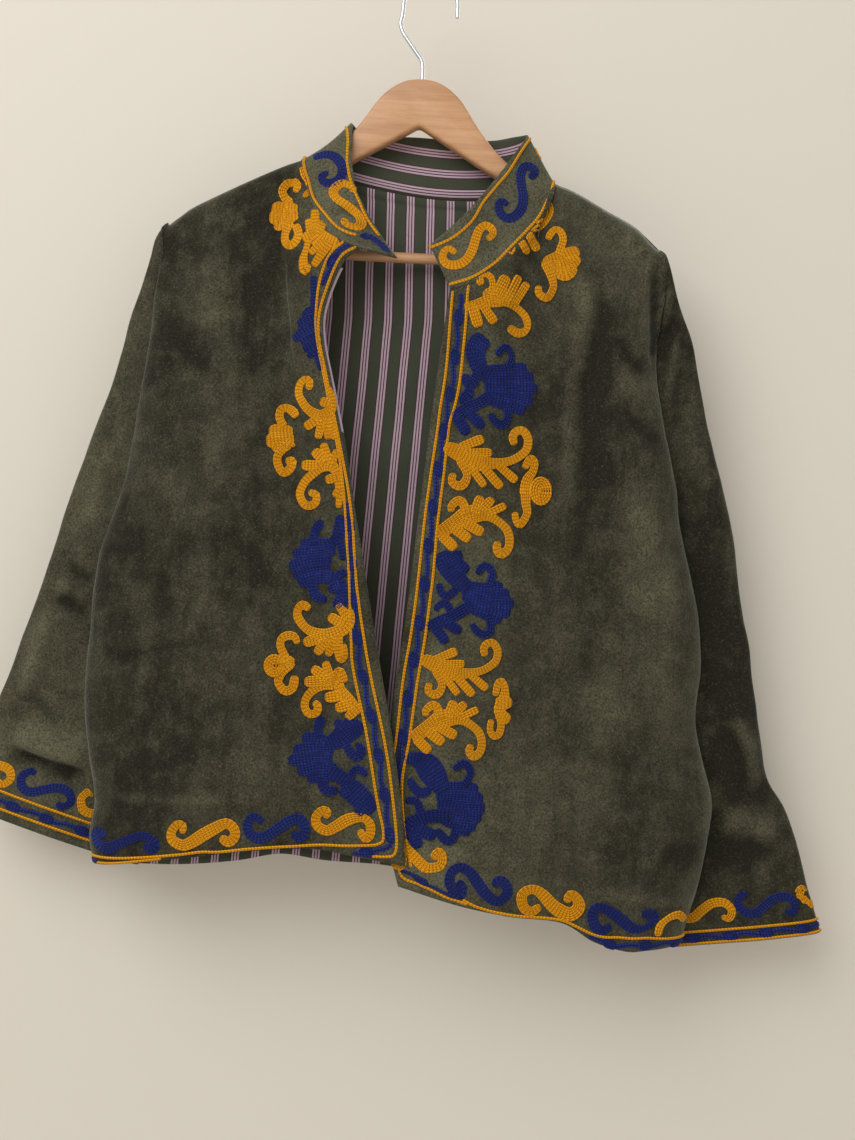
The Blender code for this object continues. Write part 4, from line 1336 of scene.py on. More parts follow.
def stitch(name, look, panel, row, lift=0.0, seen=False):
    """Lays one row on a panel. row: how far from the edge, how far up, and width. seen: x and z instead."""
    spot, out, on_it = panel.at(row[:, 0], row[:, 1], seen)
    moved = np.linalg.norm(np.diff(spot, axis=0, prepend=spot[:1] - 1), axis=1) > 0.05
    kept = on_it & moved
    spot, out, row = spot[kept], out[kept], row[kept]
    if len(row) < 3:
        return
    along = np.gradient(spot, axis=0)
    across = np.cross(out, along)
    across /= np.maximum(np.linalg.norm(across, axis=1, keepdims=True), 1e-6)
    count = len(row)
    beat = np.where(np.arange(count) % 2, 1.0, -1.0)
    half = row[:, 2] / 2 * (1.1 + 0.1 * beat)
    rise = 1 + 0.12 * beat
    half[[0, -1]] *= 0.45
    rise[[0, -1]] = 0.15
    points = spot[:, None] + across[:, None] * (half[:, None] * ROW_ACROSS)[..., None]
    height = np.where(ROW_RISE > 0, ROW_RISE * rise[:, None] + lift, ROW_RISE)
    points = points + out[:, None] * height[..., None]
    store = threads.setdefault(name, {"look": look, "points": [], "faces": [], "spots": [], "count": 0})
    next_to_it = np.linalg.norm(np.diff(spot, axis=0), axis=1) < 3 * STITCH
    i, j = np.meshgrid(np.flatnonzero(next_to_it), np.arange(4), indexing="ij")
    corners = [(i, j), (i, j + 1), (i + 1, j + 1), (i + 1, j)]
    faces = np.stack([a * 5 + b for a, b in corners], axis=-1).reshape(-1, 4)
    spots = np.stack([np.stack([(ROW_ACROSS[b] + 1) / 2, a / 2], axis=-1) for a, b in corners], axis=-2)
    store["points"].append(points.reshape(-1, 3))
    store["faces"].append(faces + store["count"])
    store["spots"].append(spots.reshape(-1, 4, 2))
    store["count"] += points.shape[0] * 5


print(f"a row of chain stitch is {ROW} mm wide, and each link {STITCH} mm long")

# %% [markdown]
# ## Motifs
# The motifs are the leaves, buds, flowers and scrolls that this kind of embroidery is known for. Each is
# drawn once on squared paper: the size of a square in mm, the square that it is placed by, its colour,
# and its strokes as x, y and width in squares, with y down.

# %% Motifs
DRAWINGS = {
    "leaf": (
        0.9,
        (43, 24),
        "saffron",
        (
            (45, 26, 9), (56, 31, 13), (70, 38, 15), (84, 40, 9), (100, 38, 6), (111, 33, 6),
            (118, 26, 6), (119, 16, 6), (114, 9, 6), (108, 10, 6), (105, 15, 6), (106, 20, 5),
        ),
        ((56, 25, 6), (74, 18, 8)),
        ((64, 30, 6), (82, 30, 7)),
        ((65, 43, 6), (77, 59, 6)),
        ((77, 43, 7), (92, 60, 7)),
        ((92, 42, 6), (106, 54, 7)),
        ((56, 38, 7), (62, 50, 6), (59, 59, 7), (54, 61, 7), (48, 57, 6), (49, 52, 6)),
    ),
    "leaf_up": (
        0.9,
        (38, 104),
        "saffron",
        (
            (38, 104, 9), (52, 95, 12), (65, 88, 15), (80, 88, 9), (90, 93, 6), (99, 101, 6),
            (102, 111, 6), (100, 120, 6), (94, 124, 7), (90, 119, 6), (91, 115, 5),
        ),
        ((70, 85, 8), (74, 74, 8)),
        ((76, 83, 7), (84, 75, 7)),
        ((83, 86, 6), (96, 80, 6)),
        ((61, 86, 7), (59, 78, 7), (54, 75, 7), (48, 80, 6), (48, 83, 5)),
        ((60, 95, 8), (74, 103, 8)),
        ((50, 100, 8), (62, 109, 8)),
        ((40, 108, 8), (49, 117, 8)),
    ),
    "leaf_high": (
        0.63,
        (36, 60),
        "saffron",
        (
            (37, 60, 9), (48, 58, 11), (60, 54, 13), (74, 52, 14), (88, 52, 11), (102, 58, 8),
            (112, 66, 8), (117, 76, 8), (117, 85, 7), (111, 91, 9), (102, 91, 10), (95, 87, 9),
        ),
        ((64, 46, 14), (80, 44, 20), (94, 48, 12)),
        ((68, 44, 9), (70, 33, 7), (68, 22, 7), (60, 17, 7), (53, 21, 8), (54, 28, 9)),
        ((76, 44, 12), (86, 24, 13)),
        ((90, 48, 9), (104, 20, 9)),
        ((100, 52, 9), (115, 28, 10)),
        ((44, 62, 12), (50, 82, 12)),
        ((58, 60, 9), (70, 77, 11)),
    ),
    "leaf_under": (
        0.58,
        (60, 71),
        "saffron",
        ((86, 28, 7), (87, 38, 9), (84, 48, 8), (76, 58, 9), (66, 66, 9), (60, 71, 6)),
        ((54, 80, 10), (65, 94, 13)),
        ((43, 92, 9), (50, 102, 10)),
        ((28, 108, 6), (32, 100, 6)),
    ),
    "bud": (
        0.9,
        (130, 65),
        "saffron",
        ((116, 66, 10), (117, 56, 8), (123, 46, 6), (124, 38, 6), (120, 35, 6), (116, 42, 5)),
        ((116, 64, 9), (116, 76, 7), (117, 86, 6), (111, 96, 6), (107, 93, 5), (106, 87, 5)),
    ),
    "bud_high": (
        0.58,
        (100, 115),
        "saffron",
        ((82, 118, 13), (104, 111, 20), (122, 103, 13)),
        ((86, 125, 12), (106, 125, 20), (124, 114, 11)),
        ((94, 132, 10), (108, 136, 17), (119, 128, 10)),
        ((98, 106, 10), (102, 95, 9), (105, 84, 9), (102, 73, 9), (94, 69, 8), (87, 75, 9), (84, 81, 8)),
        (
            (80, 122, 14), (86, 137, 11), (90, 152, 9), (88, 161, 9), (80, 172, 9), (69, 166, 9),
            (68, 158, 8),
        ),
    ),
    "bud_small": (
        0.9,
        (93, 138),
        "saffron",
        (
            (86, 125, 5), (88, 116, 6), (92, 113, 6), (95, 120, 6), (94, 130, 9), (90, 140, 10),
            (91, 150, 7), (91, 158, 6), (89, 165, 6), (84, 167, 6), (80, 161, 5), (81, 153, 5),
        ),
        ((92, 134, 13), (98, 134, 9)),
        ((92, 148, 12), (96, 150, 9)),
    ),
    "flower": (
        0.9,
        (54, 33),
        "indigo",
        ((61, 24, 9), (78, 27, 10), (91, 25, 10)),
        ((62, 29, 9), (82, 32, 10), (97, 32, 10)),
        ((62, 34, 9), (83, 39, 10), (101, 40, 10)),
        ((64, 40, 9), (83, 45, 10), (98, 48, 10)),
        ((68, 45, 8), (80, 50, 9), (90, 54, 10)),
        ((60, 24, 11), (52, 16, 14), (45, 5, 17), (42, -1, 15)),
        ((50, 0, 9), (60, 8, 9)),
        ((43, 2, 9), (54, -4, 9)),
        ((50, 29, 7), (44, 33, 6), (38, 29, 6), (37, 24, 5)),
        ((47, 48, 6), (43, 40, 6), (36, 42, 5), (34, 45, 4)),
        ((64, 43, 9), (48, 52, 9), (35, 57, 8), (28, 61, 7)),
        ((40, 56, 8), (53, 64, 8)),
        ((33, 62, 8), (41, 73, 8)),
        ((83, 55, 6), (84, 64, 6), (79, 69, 6), (72, 66, 6), (68, 61, 5)),
        ((83, 22, 6), (86, 14, 6), (83, 7, 6), (77, 6, 6), (73, 11, 5)),
    ),
    "flower_high": (
        0.63,
        (51, 82),
        "indigo",
        ((62, 60, 13), (85, 57, 14), (108, 54, 14)),
        ((60, 69, 13), (90, 68, 14), (117, 66, 14)),
        ((64, 80, 13), (95, 80, 14), (122, 81, 14)),
        ((64, 90, 13), (90, 92, 14), (116, 97, 14)),
        ((66, 98, 12), (88, 103, 14), (106, 108, 14)),
        ((62, 62, 11), (52, 56, 17), (47, 44, 20), (46, 30, 22), (50, 18, 16)),
        ((52, 30, 14), (58, 22, 12)),
        ((48, 62, 9), (44, 72, 12), (36, 76, 12), (33, 68, 9)),
        ((38, 82, 8), (36, 90, 12), (30, 95, 10), (28, 100, 6)),
        ((62, 94, 13), (50, 102, 13), (36, 108, 14), (20, 119, 12)),
        ((36, 114, 12), (52, 130, 12)),
        ((22, 122, 12), (32, 138, 13)),
        ((88, 108, 9), (89, 120, 9), (82, 130, 10), (72, 126, 9), (67, 119, 8)),
        ((90, 50, 8), (94, 40, 7), (91, 30, 7), (84, 27, 8), (77, 35, 9)),
    ),
    "flower_low": (
        0.69,
        (51, 72),
        "indigo",
        ((62, 56, 12), (80, 55, 13), (100, 57, 14)),
        ((62, 64, 12), (84, 66, 14), (106, 68, 14)),
        ((63, 74, 12), (86, 78, 14), (108, 79, 14)),
        ((62, 84, 13), (84, 88, 14), (104, 90, 14)),
        ((66, 92, 11), (82, 98, 13), (98, 100, 13)),
        ((80, 100, 11), (92, 106, 12)),
        ((62, 54, 14), (54, 40, 25), (44, 27, 24), (30, 20, 13), (21, 20, 7)),
        ((46, 58, 9), (37, 60, 10), (29, 52, 9), (26, 47, 8)),
        ((38, 84, 9), (35, 74, 8), (28, 69, 8), (23, 70, 6)),
        ((66, 88, 15), (50, 88, 13), (37, 92, 14), (28, 101, 20), (25, 110, 13)),
        ((38, 104, 12), (50, 110, 13)),
        ((29, 108, 13), (33, 120, 12)),
        ((80, 100, 9), (79, 110, 9), (72, 118, 9), (64, 113, 9), (59, 107, 8)),
        ((90, 50, 7), (97, 40, 7), (95, 30, 8), (88, 26, 8), (80, 31, 7)),
    ),
    "near_leaf_high": (
        0.65,
        (76, 88),
        "saffron",
        ((97, 98, 12), (86, 94, 18), (76, 88, 20), (72, 78, 15)),
        ((72, 76, 10), (71, 54, 9)),
        ((76, 82, 10), (83, 68, 8)),
        ((66, 82, 10), (63, 66, 7)),
        ((64, 86, 12), (60, 88, 10)),
        ((80, 96, 10), (68, 108, 7)),
        ((88, 100, 12), (72, 124, 7)),
        ((64, 92, 7), (60, 106, 6), (57, 118, 9), (59, 132, 10), (63, 126, 6)),
    ),
    "near_bud_high": (
        0.65,
        (26, 62),
        "saffron",
        ((44, 52, 12), (24, 50, 18)),
        ((45, 62, 12), (22, 62, 20)),
        ((40, 72, 10), (24, 73, 12)),
        ((38, 42, 10), (31, 33, 9), (29, 24, 9), (36, 15, 9), (45, 16, 9), (49, 22, 9), (47, 27, 6)),
        ((38, 74, 11), (34, 84, 9), (34, 95, 9), (41, 102, 9), (49, 97, 9), (52, 87, 9), (49, 78, 9)),
    ),
    "near_flower_high": (
        0.63,
        (70, 55),
        "indigo",
        ((69, -16, 8), (69, 0, 7), (69, 20, 7)),
        ((69, 26, 9), (62, 28, 10), (58, 33, 7)),
        ((70, 36, 10), (54, 42, 13)),
        ((71, 47, 11), (60, 52, 14), (46, 62, 9)),
        ((72, 58, 12), (60, 66, 16)),
        ((73, 69, 12), (62, 75, 14)),
        ((72, 79, 8), (65, 86, 8)),
        ((74, 86, 6), (76, 92, 8), (79, 104, 5)),
    ),
    "near_leaf": (
        0.63,
        (82, 28),
        "saffron",
        (
            (67, -11, 8), (68, -17, 8), (62, -21, 8), (55, -15, 8), (53, -3, 8), (58, 9, 9), (67, 20, 10),
            (82, 28, 13), (95, 21, 12), (98, 6, 8), (93, -8, 5),
        ),
        ((94, 12, 8), (88, 10, 13)),
        ((82, 30, 9), (66, 40, 11)),
        ((84, 34, 9), (80, 54, 9)),
        ((92, 32, 11), (93, 55, 9)),
        ((96, 36, 9), (102, 55, 10)),
    ),
    "near_leaf_up": (
        0.63,
        (98, 94),
        "saffron",
        (
            (106, 145, 6), (107, 128, 8), (104, 108, 9), (98, 94, 12), (84, 92, 14), (72, 102, 10),
            (60, 114, 9), (54, 130, 9), (62, 144, 9), (74, 142, 9), (76, 131, 8), (69, 128, 7),
        ),
        ((86, 84, 14), (76, 75, 11)),
        ((91, 84, 12), (86, 66, 8)),
        ((98, 90, 8), (102, 74, 7), (106, 80, 5)),
        ((76, 92, 11), (62, 91, 12)),
        ((102, 108, 8), (94, 110, 12)),
        ((106, 125, 8), (103, 130, 10)),
    ),
    "near_bud": (
        0.63,
        (26, 58),
        "saffron",
        ((40, 48, 12), (22, 48, 17)),
        ((41, 58, 13), (20, 60, 20)),
        ((38, 68, 10), (24, 69, 12)),
        ((33, 40, 9), (28, 30, 9), (30, 19, 9), (38, 17, 9), (46, 22, 10), (49, 26, 9)),
        ((34, 70, 10), (26, 80, 9), (26, 92, 9), (33, 103, 9), (42, 98, 10), (45, 88, 10), (40, 88, 8)),
        ((40, 62, 9), (47, 67, 4)),
    ),
    "near_flower": (
        0.69,
        (100, 68),
        "indigo",
        ((90, 43, 11), (72, 44, 13), (60, 43, 12)),
        ((92, 51, 12), (70, 54, 13), (51, 55, 13)),
        ((87, 62, 12), (65, 64, 13), (46, 69, 12)),
        ((86, 72, 11), (65, 75, 13), (51, 80, 12)),
        ((90, 82, 11), (70, 84, 13), (58, 89, 12)),
        ((88, 43, 10), (96, 39, 10), (102, 28, 13), (103, 13, 9)),
        ((102, 40, 8), (105, 50, 8), (106, 60, 6)),
        ((85, 83, 12), (95, 83, 11), (102, 88, 12), (104, 100, 13), (106, 114, 10)),
        ((101, 93, 11), (94, 96, 11)),
        ((104, 108, 11), (100, 115, 11)),
        ((100, 82, 7), (105, 77, 8), (108, 80, 5)),
        ((70, 88, 10), (70, 98, 10), (75, 106, 10), (83, 109, 8)),
        ((72, 40, 8), (72, 30, 9), (76, 22, 10), (79, 18, 7)),
    ),
    "low_leaf": (
        0.69,
        (116, 30),
        "saffron",
        (
            (115, 20, 9), (113, 33, 13), (100, 43, 13), (83, 47, 13), (64, 40, 9), (53, 27, 9),
            (52, 17, 8), (58, 11, 9), (64, 14, 7),
        ),
        ((112, 25, 11), (102, 11, 7)),
        ((106, 33, 11), (94, 26, 10)),
        ((84, 49, 12), (64, 55, 10)),
        ((88, 52, 10), (77, 66, 9)),
        ((97, 54, 9), (90, 68, 8)),
        ((101, 50, 10), (102, 67, 9), (105, 76, 7), (109, 70, 7), (108, 60, 6)),
    ),
    "low_leaf_up": (
        0.69,
        (98, 109),
        "saffron",
        (
            (124, 138, 7), (113, 128, 13), (102, 115, 12), (98, 108, 13), (85, 107, 12), (72, 113, 9),
            (62, 123, 8), (59, 134, 8), (64, 143, 8), (73, 142, 8), (75, 134, 8), (72, 131, 6),
        ),
        ((103, 121, 10), (89, 123, 11)),
        ((115, 131, 11), (101, 135, 10)),
        ((122, 137, 9), (113, 145, 9)),
        ((90, 103, 12), (64, 105, 11)),
        ((86, 100, 11), (72, 91, 10)),
        ((90, 99, 10), (85, 84, 8)),
        ((97, 98, 9), (101, 92, 9), (105, 97, 8), (107, 102, 7)),
    ),
    "low_bud": (
        0.69,
        (23, 85),
        "saffron",
        ((42, 80, 11), (34, 80, 12)),
        ((38, 78, 9), (31, 64, 8), (31, 54, 8), (38, 49, 9), (47, 50, 8), (50, 56, 6)),
        ((42, 83, 10), (33, 90, 11), (29, 98, 9), (28, 106, 8), (36, 115, 9), (45, 111, 9), (47, 101, 9)),
    ),
    "near_flower_low": (
        0.69,
        (106, 72),
        "indigo",
        ((90, 52, 11), (76, 48, 12), (64, 48, 12)),
        ((92, 60, 12), (72, 60, 13), (54, 62, 12)),
        ((90, 71, 12), (70, 71, 13), (48, 74, 12)),
        ((96, 83, 12), (78, 82, 13), (59, 86, 12)),
        ((100, 90, 11), (85, 92, 13), (70, 94, 11)),
        ((92, 53, 11), (104, 47, 20), (114, 38, 22), (125, 34, 15)),
        ((108, 34, 9), (102, 29, 9)),
        ((118, 31, 9), (113, 27, 8)),
        ((112, 54, 8), (118, 64, 9), (126, 68, 10), (130, 60, 9), (126, 55, 6)),
        ((98, 88, 15), (110, 96, 14), (120, 108, 22), (132, 120, 22), (140, 128, 14)),
        ((115, 108, 11), (109, 111, 11)),
        ((133, 125, 11), (128, 133, 11)),
        ((117, 96, 8), (120, 86, 7), (128, 83, 8), (134, 88, 7)),
        ((79, 43, 9), (78, 34, 9), (81, 27, 11)),
        ((83, 96, 9), (84, 104, 10), (92, 110, 10), (98, 108, 8)),
    ),
    "scroll_1": (
        0.63,
        (61, 63),
        "saffron",
        (
            (34, 58, 6), (36, 53, 9), (29, 51, 9), (21, 60, 10), (23, 71, 11), (35, 77, 11), (48, 71, 12),
            (61, 63, 13), (74, 59, 11), (85, 60, 9), (92, 68, 10), (92, 80, 10), (86, 86, 9), (80, 78, 8),
        ),
    ),
    "scroll_2": (
        0.63,
        (110, 53),
        "indigo",
        (
            (91, 41, 9), (86, 36, 8), (78, 38, 10), (74, 50, 10), (80, 60, 11), (92, 63, 12),
            (105, 57, 12), (118, 48, 12), (131, 40, 12), (142, 38, 12), (149, 46, 11), (149, 57, 11),
            (141, 62, 10), (136, 57, 8),
        ),
    ),
    "scroll_3": (
        0.63,
        (16, 60),
        "saffron",
        (
            (-10, 55, 6), (-10, 48, 9), (-18, 47, 9), (-25, 57, 10), (-23, 67, 11), (-10, 73, 12),
            (2, 69, 13), (16, 60, 14), (34, 50, 13), (48, 44, 11), (58, 51, 11), (59, 61, 11),
            (51, 68, 11), (44, 64, 9),
        ),
    ),
    "scroll_4": (
        0.63,
        (60, 54),
        "indigo",
        (
            (30, 50, 5), (24, 44, 9), (16, 46, 9), (16, 54, 10), (26, 63, 12), (38, 64, 13), (52, 57, 11),
            (70, 50, 10), (84, 46, 10), (95, 50, 10), (101, 57, 11), (96, 63, 11), (88, 60, 8),
        ),
    ),
    "scroll_5": (
        0.79,
        (32, 18),
        "saffron",
        (
            (10, 2, 7), (18, 5, 8), (24, 10, 8), (32, 18, 9), (42, 27, 9), (50, 28, 8), (58, 26, 8),
            (60, 18, 8), (56, 13, 8), (52, 17, 7),
        ),
        ((10, 22, 8), (15, 26, 10), (19, 20, 7), (18, 12, 6)),
    ),
    "scroll_6": (
        0.79,
        (95, 43),
        "indigo",
        (
            (77, 46, 8), (80, 50, 9), (78, 57, 9), (71, 51, 9), (67, 42, 9), (70, 32, 8), (79, 29, 8),
            (88, 34, 9), (95, 43, 10), (102, 53, 10), (110, 61, 9), (118, 64, 8), (126, 58, 9),
            (127, 50, 9), (120, 43, 9), (115, 46, 7),
        ),
    ),
    "scroll_7": (
        0.79,
        (174, 67),
        "saffron",
        (
            (160, 70, 6), (153, 74, 8), (145, 69, 9), (143, 58, 9), (149, 52, 8), (158, 52, 8),
            (166, 58, 10), (174, 67, 11), (183, 74, 12), (194, 78, 12), (203, 71, 11), (201, 62, 9),
            (194, 58, 8), (191, 63, 6),
        ),
    ),
    "scroll_8": (
        0.74,
        (70, 56),
        "indigo",
        (
            (55, 62, 6), (49, 66, 8), (40, 62, 10), (36, 50, 10), (40, 41, 9), (50, 42, 9), (60, 48, 10),
            (70, 56, 11), (80, 64, 10), (90, 67, 7), (100, 64, 5), (107, 58, 9), (105, 51, 9),
            (97, 50, 9),
        ),
    ),
    "scroll_9": (
        0.74,
        (120, 55),
        "saffron",
        ((110, 70, 7), (112, 62, 8), (118, 56, 6), (126, 52, 7), (136, 52, 8), (142, 58, 7)),
    ),
    "collar_yellow": (
        0.115,
        (480, 950),
        "saffron",
        (
            (378, 1000, 34), (350, 978, 39), (312, 990, 43), (295, 1040, 48), (330, 1092, 53),
            (400, 1100, 56), (465, 1065, 56), (510, 990, 56), (535, 910, 55), (562, 838, 53),
            (605, 805, 51), (650, 825, 48), (662, 868, 43), (632, 900, 36),
        ),
    ),
    "collar_blue": (
        0.117,
        (820, 570),
        "indigo",
        (
            (752, 672, 38), (722, 655, 45), (700, 690, 50), (715, 750, 54), (765, 782, 57),
            (825, 755, 59), (868, 690, 61), (878, 610, 59), (868, 530, 56), (862, 450, 54),
            (885, 385, 54), (935, 375, 54), (970, 415, 50), (940, 450, 42),
        ),
    ),
    "near_collar_blue": (
        0.182,
        (530, 220),
        "indigo",
        (
            (462, 160, 24), (500, 150, 31), (545, 160, 36), (580, 195, 39), (590, 235, 39),
            (570, 275, 36), (530, 292, 34), (500, 282, 32), (492, 255, 25), (515, 245, 20),
        ),
    ),
    "near_leaf_under": (
        0.181,
        (420, 280),
        "saffron",
        ((398, 205, 20), (410, 235, 32), (428, 262, 32), (440, 290, 20)),
        ((448, 312, 20), (430, 328, 24), (414, 348, 14)),
    ),
}

DISCS = {"bud": (10.5, 13.5), "low_bud": (13, 14)}  # half width and height of a bud's disc, in squares
FULLER = 1.22  # the drawn widths stop short of the fluffy thread
ROLL = math.radians(3)  # the drawings lean with the camera
STROKE_LIFT = 0.06  # mm, how much higher each stroke of a drawing lies than the last
DISC_LIFT = 0.9  # mm, how high a bud's disc lies
YELLOW_LIFT = 0.4  # mm, since yellow lies on top where it meets blue


def ring_rows(radii):
    """Rows round an oval disc, from the outside to the middle."""
    rows = []
    angles = np.linspace(0, 2 * math.pi, 24)
    for k in range(math.ceil(min(radii) / ROW)):
        a, b = (max(radius - (k + 0.5) * ROW, 0.6) for radius in radii)
        rows.append(spaced([(a * math.cos(t), b * math.sin(t), ROW) for t in angles]))
    return rows


def longer(path):
    """The same stroke with its ends drawn out, since thread swells past the line."""
    path = [np.array(point, float) for point in path]
    for end, inner in ((0, 1), (-1, -2)):
        way = path[end][:2] - path[inner][:2]
        path[end][:2] += way / np.linalg.norm(way) * path[end][2] * 0.4
    return path


def drawn_rows(name):
    """A drawing's rows in mm from the square it is placed by, y up, each with how high it lies."""
    square, (over, down), _, *strokes = DRAWINGS[name]
    rows = []
    for k, stroke in enumerate(strokes):
        path = []
        for x, y, width in stroke:
            path.append(((x - over) * square, (down - y) * square, width * square * FULLER))
        rows += [(row, STROKE_LIFT * k) for row in rows_of(longer(path))]
    if name in DISCS:
        rows += [(row, DISC_LIFT) for row in ring_rows([radius * square for radius in DISCS[name]])]
    return rows


def work_seen(piece, panel, name, x, z, size=1.0):
    """Works a drawing where it is seen on the hanging coat: x to the right and z up."""
    thread = DRAWINGS[name][2]
    look, above = (YELLOW_LOOK, YELLOW_LIFT) if thread == "saffron" else (BLUE_LOOK, 0)
    for row, lift in drawn_rows(name):
        across, up = row[:, 0] * size, row[:, 1] * size
        over = x + across * math.cos(ROLL) - up * math.sin(ROLL)
        high = z + across * math.sin(ROLL) + up * math.cos(ROLL)
        placed = np.column_stack([over, high, row[:, 2]])
        stitch(f"{piece}_{thread}", look, panel, placed, lift + above, seen=True)


print(f"{len(DRAWINGS)} drawings, {sum(len(drawing) - 3 for drawing in DRAWINGS.values())} strokes")


# %% [markdown]
# ## Motifs of the fronts
# The embroiderer drew the fronts freehand, so no two leaves are quite the same. Each is placed where it
# hangs.

# %% Motifs of the fronts
FRONT_MOTIFS = {
    "left_front": (
        ("leaf_under", 96, -215),
        ("leaf_high", 44, -285),
        ("bud_high", 121, -238),
        ("flower_high", 58, -352),
        ("leaf", 33, -402),
        ("leaf_up", 32, -474),
        ("bud", 114, -435),
        ("flower", 49, -526),
        ("leaf", 23, -579, 0.9),
        ("leaf_up", 20, -643, 0.95),
        ("bud_small", 91, -616, 0.92),
        ("flower_low", 36, -697),
        ("scroll_5", 25, -742),
        ("scroll_6", 76, -759),
        ("scroll_7", 139, -776),
        ("scroll_8", 199, -788),
        ("scroll_9", 238, -788),
    ),
    "right_front": (
        ("near_leaf_under", -97, -184),
        ("near_bud_high", -118, -214),
        ("near_leaf_high", -83, -233),
        ("near_flower_high", -82, -313),
        ("near_leaf", -73, -383),
        ("near_leaf_up", -60, -425),
        ("near_bud", -108, -403),
        ("near_flower", -51.5, -505.5),
        ("low_leaf", -38.5, -551.5),
        ("low_leaf_up", -47, -605),
        ("low_bud", -100, -592),
        ("near_flower_low", -40, -665),
        ("scroll_1", -33, -714.5),
        ("scroll_2", -92, -727),
        ("scroll_3", -152, -735),
        ("scroll_4", -217, -745),
    ),
}
for piece, motifs in FRONT_MOTIFS.items():
    for motif in motifs:
        work_seen(piece, panels[piece], *motif)
    print(f"{piece}: {len(motifs)} motifs")

# %% [markdown]
# ## Borders
# Two yellow lines and a blue vine between them run down each open edge. At the corner they turn along the
# hem, where the edge rolls under and hides all but the inner line in places. A border is given as its
# places on the cloth: how far from the edge and how far up from the hem.

# %% Borders of the fronts
LINE_WIDTH, STEM_WIDTH = 2.2, 4.4
LINE_LIFT, BUD_LIFT = 0.5, 0.3
VINE_PITCH, VINE_SWING = 32, 1.1
FIRST_BUD, LAST_BUD = 0.62, 6  # share of the pitch before the first bud, and mm after the last one
BUD_LENGTH, BUD_WIDTH = 13, 9
BUD_SHAPE = ((-1, 0.8), (0, 1), (1, 0.8))  # along the bud, and its width there
BORDERS = {
    "right_front": {
        "outer": (
            (3.6, 526), (4.8, 518), (4.5, 507), (3.6, 485), (3.8, 463), (4.4, 443), (4.2, 414), (4, 378),
            (3.6, 350), (3.2, 323), (3.5, 300), (5, 275), (9, 230), (10, 184), (9.6, 150), (7, 100),
            (6.4, 61), (6, 32), (6.2, 16), (9, 7.5), (17, 4.6), (28, 3),
        ),
        "inner": (
            (15.5, 530), (13.9, 514), (11.9, 493), (9.8, 479), (7, 462), (6.6, 443), (6.4, 410), (6.2, 378),
            (6, 350), (6.4, 328), (8.5, 297), (10.7, 277), (15, 233), (22, 182), (24.5, 157), (22, 107),
            (21, 70), (19.4, 46), (17, 28), (17.5, 18), (22, 14), (29, 11.6), (50, 7.3), (71, 4), (88, 2.2),
            (105, 1.8), (130, 1.8), (155, 1.8), (171, 3.5), (189, 3.2), (215, 3.6), (233, 4.4), (251, 5.7),
            (267, 7), (279, 8),
        ),
        "hem": ((268, 1.6), (250, 1.2), (225, 1.2), (205, 1.4)),
        "vine": (
            ((9.6, 527), (9, 515), (8, 500), (6.6, 484)),
            ((281, 3.4), (274, 3.4), (267, 3)),
            (
                (6.2, 300), (7.8, 275), (12, 233), (16, 184), (17, 157), (14.4, 107), (13.7, 70),
                (12.5, 46), (11.6, 26), (12.5, 15), (20, 9), (32, 5.5), (44, 3),
            ),
        ),
    },
    "left_front": {
        "outer": (
            (3, 499), (4.6, 478), (7.3, 434), (6.7, 399), (6.8, 380), (5.5, 314), (6.4, 242), (6.2, 173),
            (6, 120), (6, 60), (5.5, 30), (5, 14), (8, 9), (20, 8), (35, 6), (50, 4.2), (60, 3),
        ),
        "inner": (
            (16.5, 508), (17.3, 497), (19.8, 474), (20.7, 456), (21.6, 438), (21.3, 422), (19.4, 406),
            (16.9, 391), (17.2, 362), (17.3, 343), (17, 309), (18.4, 268), (18.4, 242), (18.6, 191),
            (16.8, 126), (17, 80), (17.5, 45), (18, 24),
        ),
        "hem": (
            (57, 6), (66, 3.2), (79, 1.8), (91, 1.6), (110, 1.6), (130, 1.8), (143, 2.4), (151, 2.8),
            (165, 4.8), (182, 7), (197, 10.4), (218, 11.6), (241, 8.6), (262, 6.5), (285, 5.5),
        ),
        "vine": (
            (
                (10.5, 499), (12, 478), (14, 434), (13, 399), (12, 362), (11.4, 309), (12.2, 242),
                (12.2, 173), (11.4, 126), (11.5, 80), (11.5, 45), (9, 24), (7, 15),
            ),
            ((3, 15), (15, 14.6), (28, 12), (40, 9.4), (51, 7)),
            ((166, 2.2), (186, 3.2), (205, 5), (223, 5), (241, 3.6), (262, 3)),
        ),
    },
}


def work_line(name, panel, path):
    """One yellow row."""
    stitch(name, YELLOW_LOOK, panel, spaced([(x, y, LINE_WIDTH) for x, y in path]), LINE_LIFT)


def work_vine(name, panel, path):
    """A wavy blue stem with a bud at every bend."""
    points = spaced([(x, y, STEM_WIDTH) for x, y in path])
    done = np.arange(len(points)) * STITCH / 2
    along = np.gradient(points[:, :2], axis=0)
    along /= np.linalg.norm(along, axis=1, keepdims=True)
    across = np.stack([-along[:, 1], along[:, 0]], axis=1)
    stem = points.copy()
    stem[:, :2] += across * (VINE_SWING * np.sin(done / VINE_PITCH * 2 * math.pi))[:, None]
    stitch(name, BLUE_LOOK, panel, stem)
    for start in np.arange(VINE_PITCH * FIRST_BUD, done[-1] - LAST_BUD, VINE_PITCH):
        k = int(start / HALF_LINK)
        middle, way = points[k, :2], along[k]
        bud = [(*(middle + way * t * BUD_LENGTH / 2), BUD_WIDTH * w) for t, w in BUD_SHAPE]
        for row in rows_of(bud):
            stitch(name, BLUE_LOOK, panel, row, BUD_LIFT)


for piece, border in BORDERS.items():
    panel = panels[piece]
    for key in ("outer", "inner", "hem"):
        work_line(piece + "_saffron", panel, border[key])
    for path in border["vine"]:
        work_vine(piece + "_indigo", panel, path)
    print(f"{piece}: border worked, {len(border['vine'])} stretches of vine")

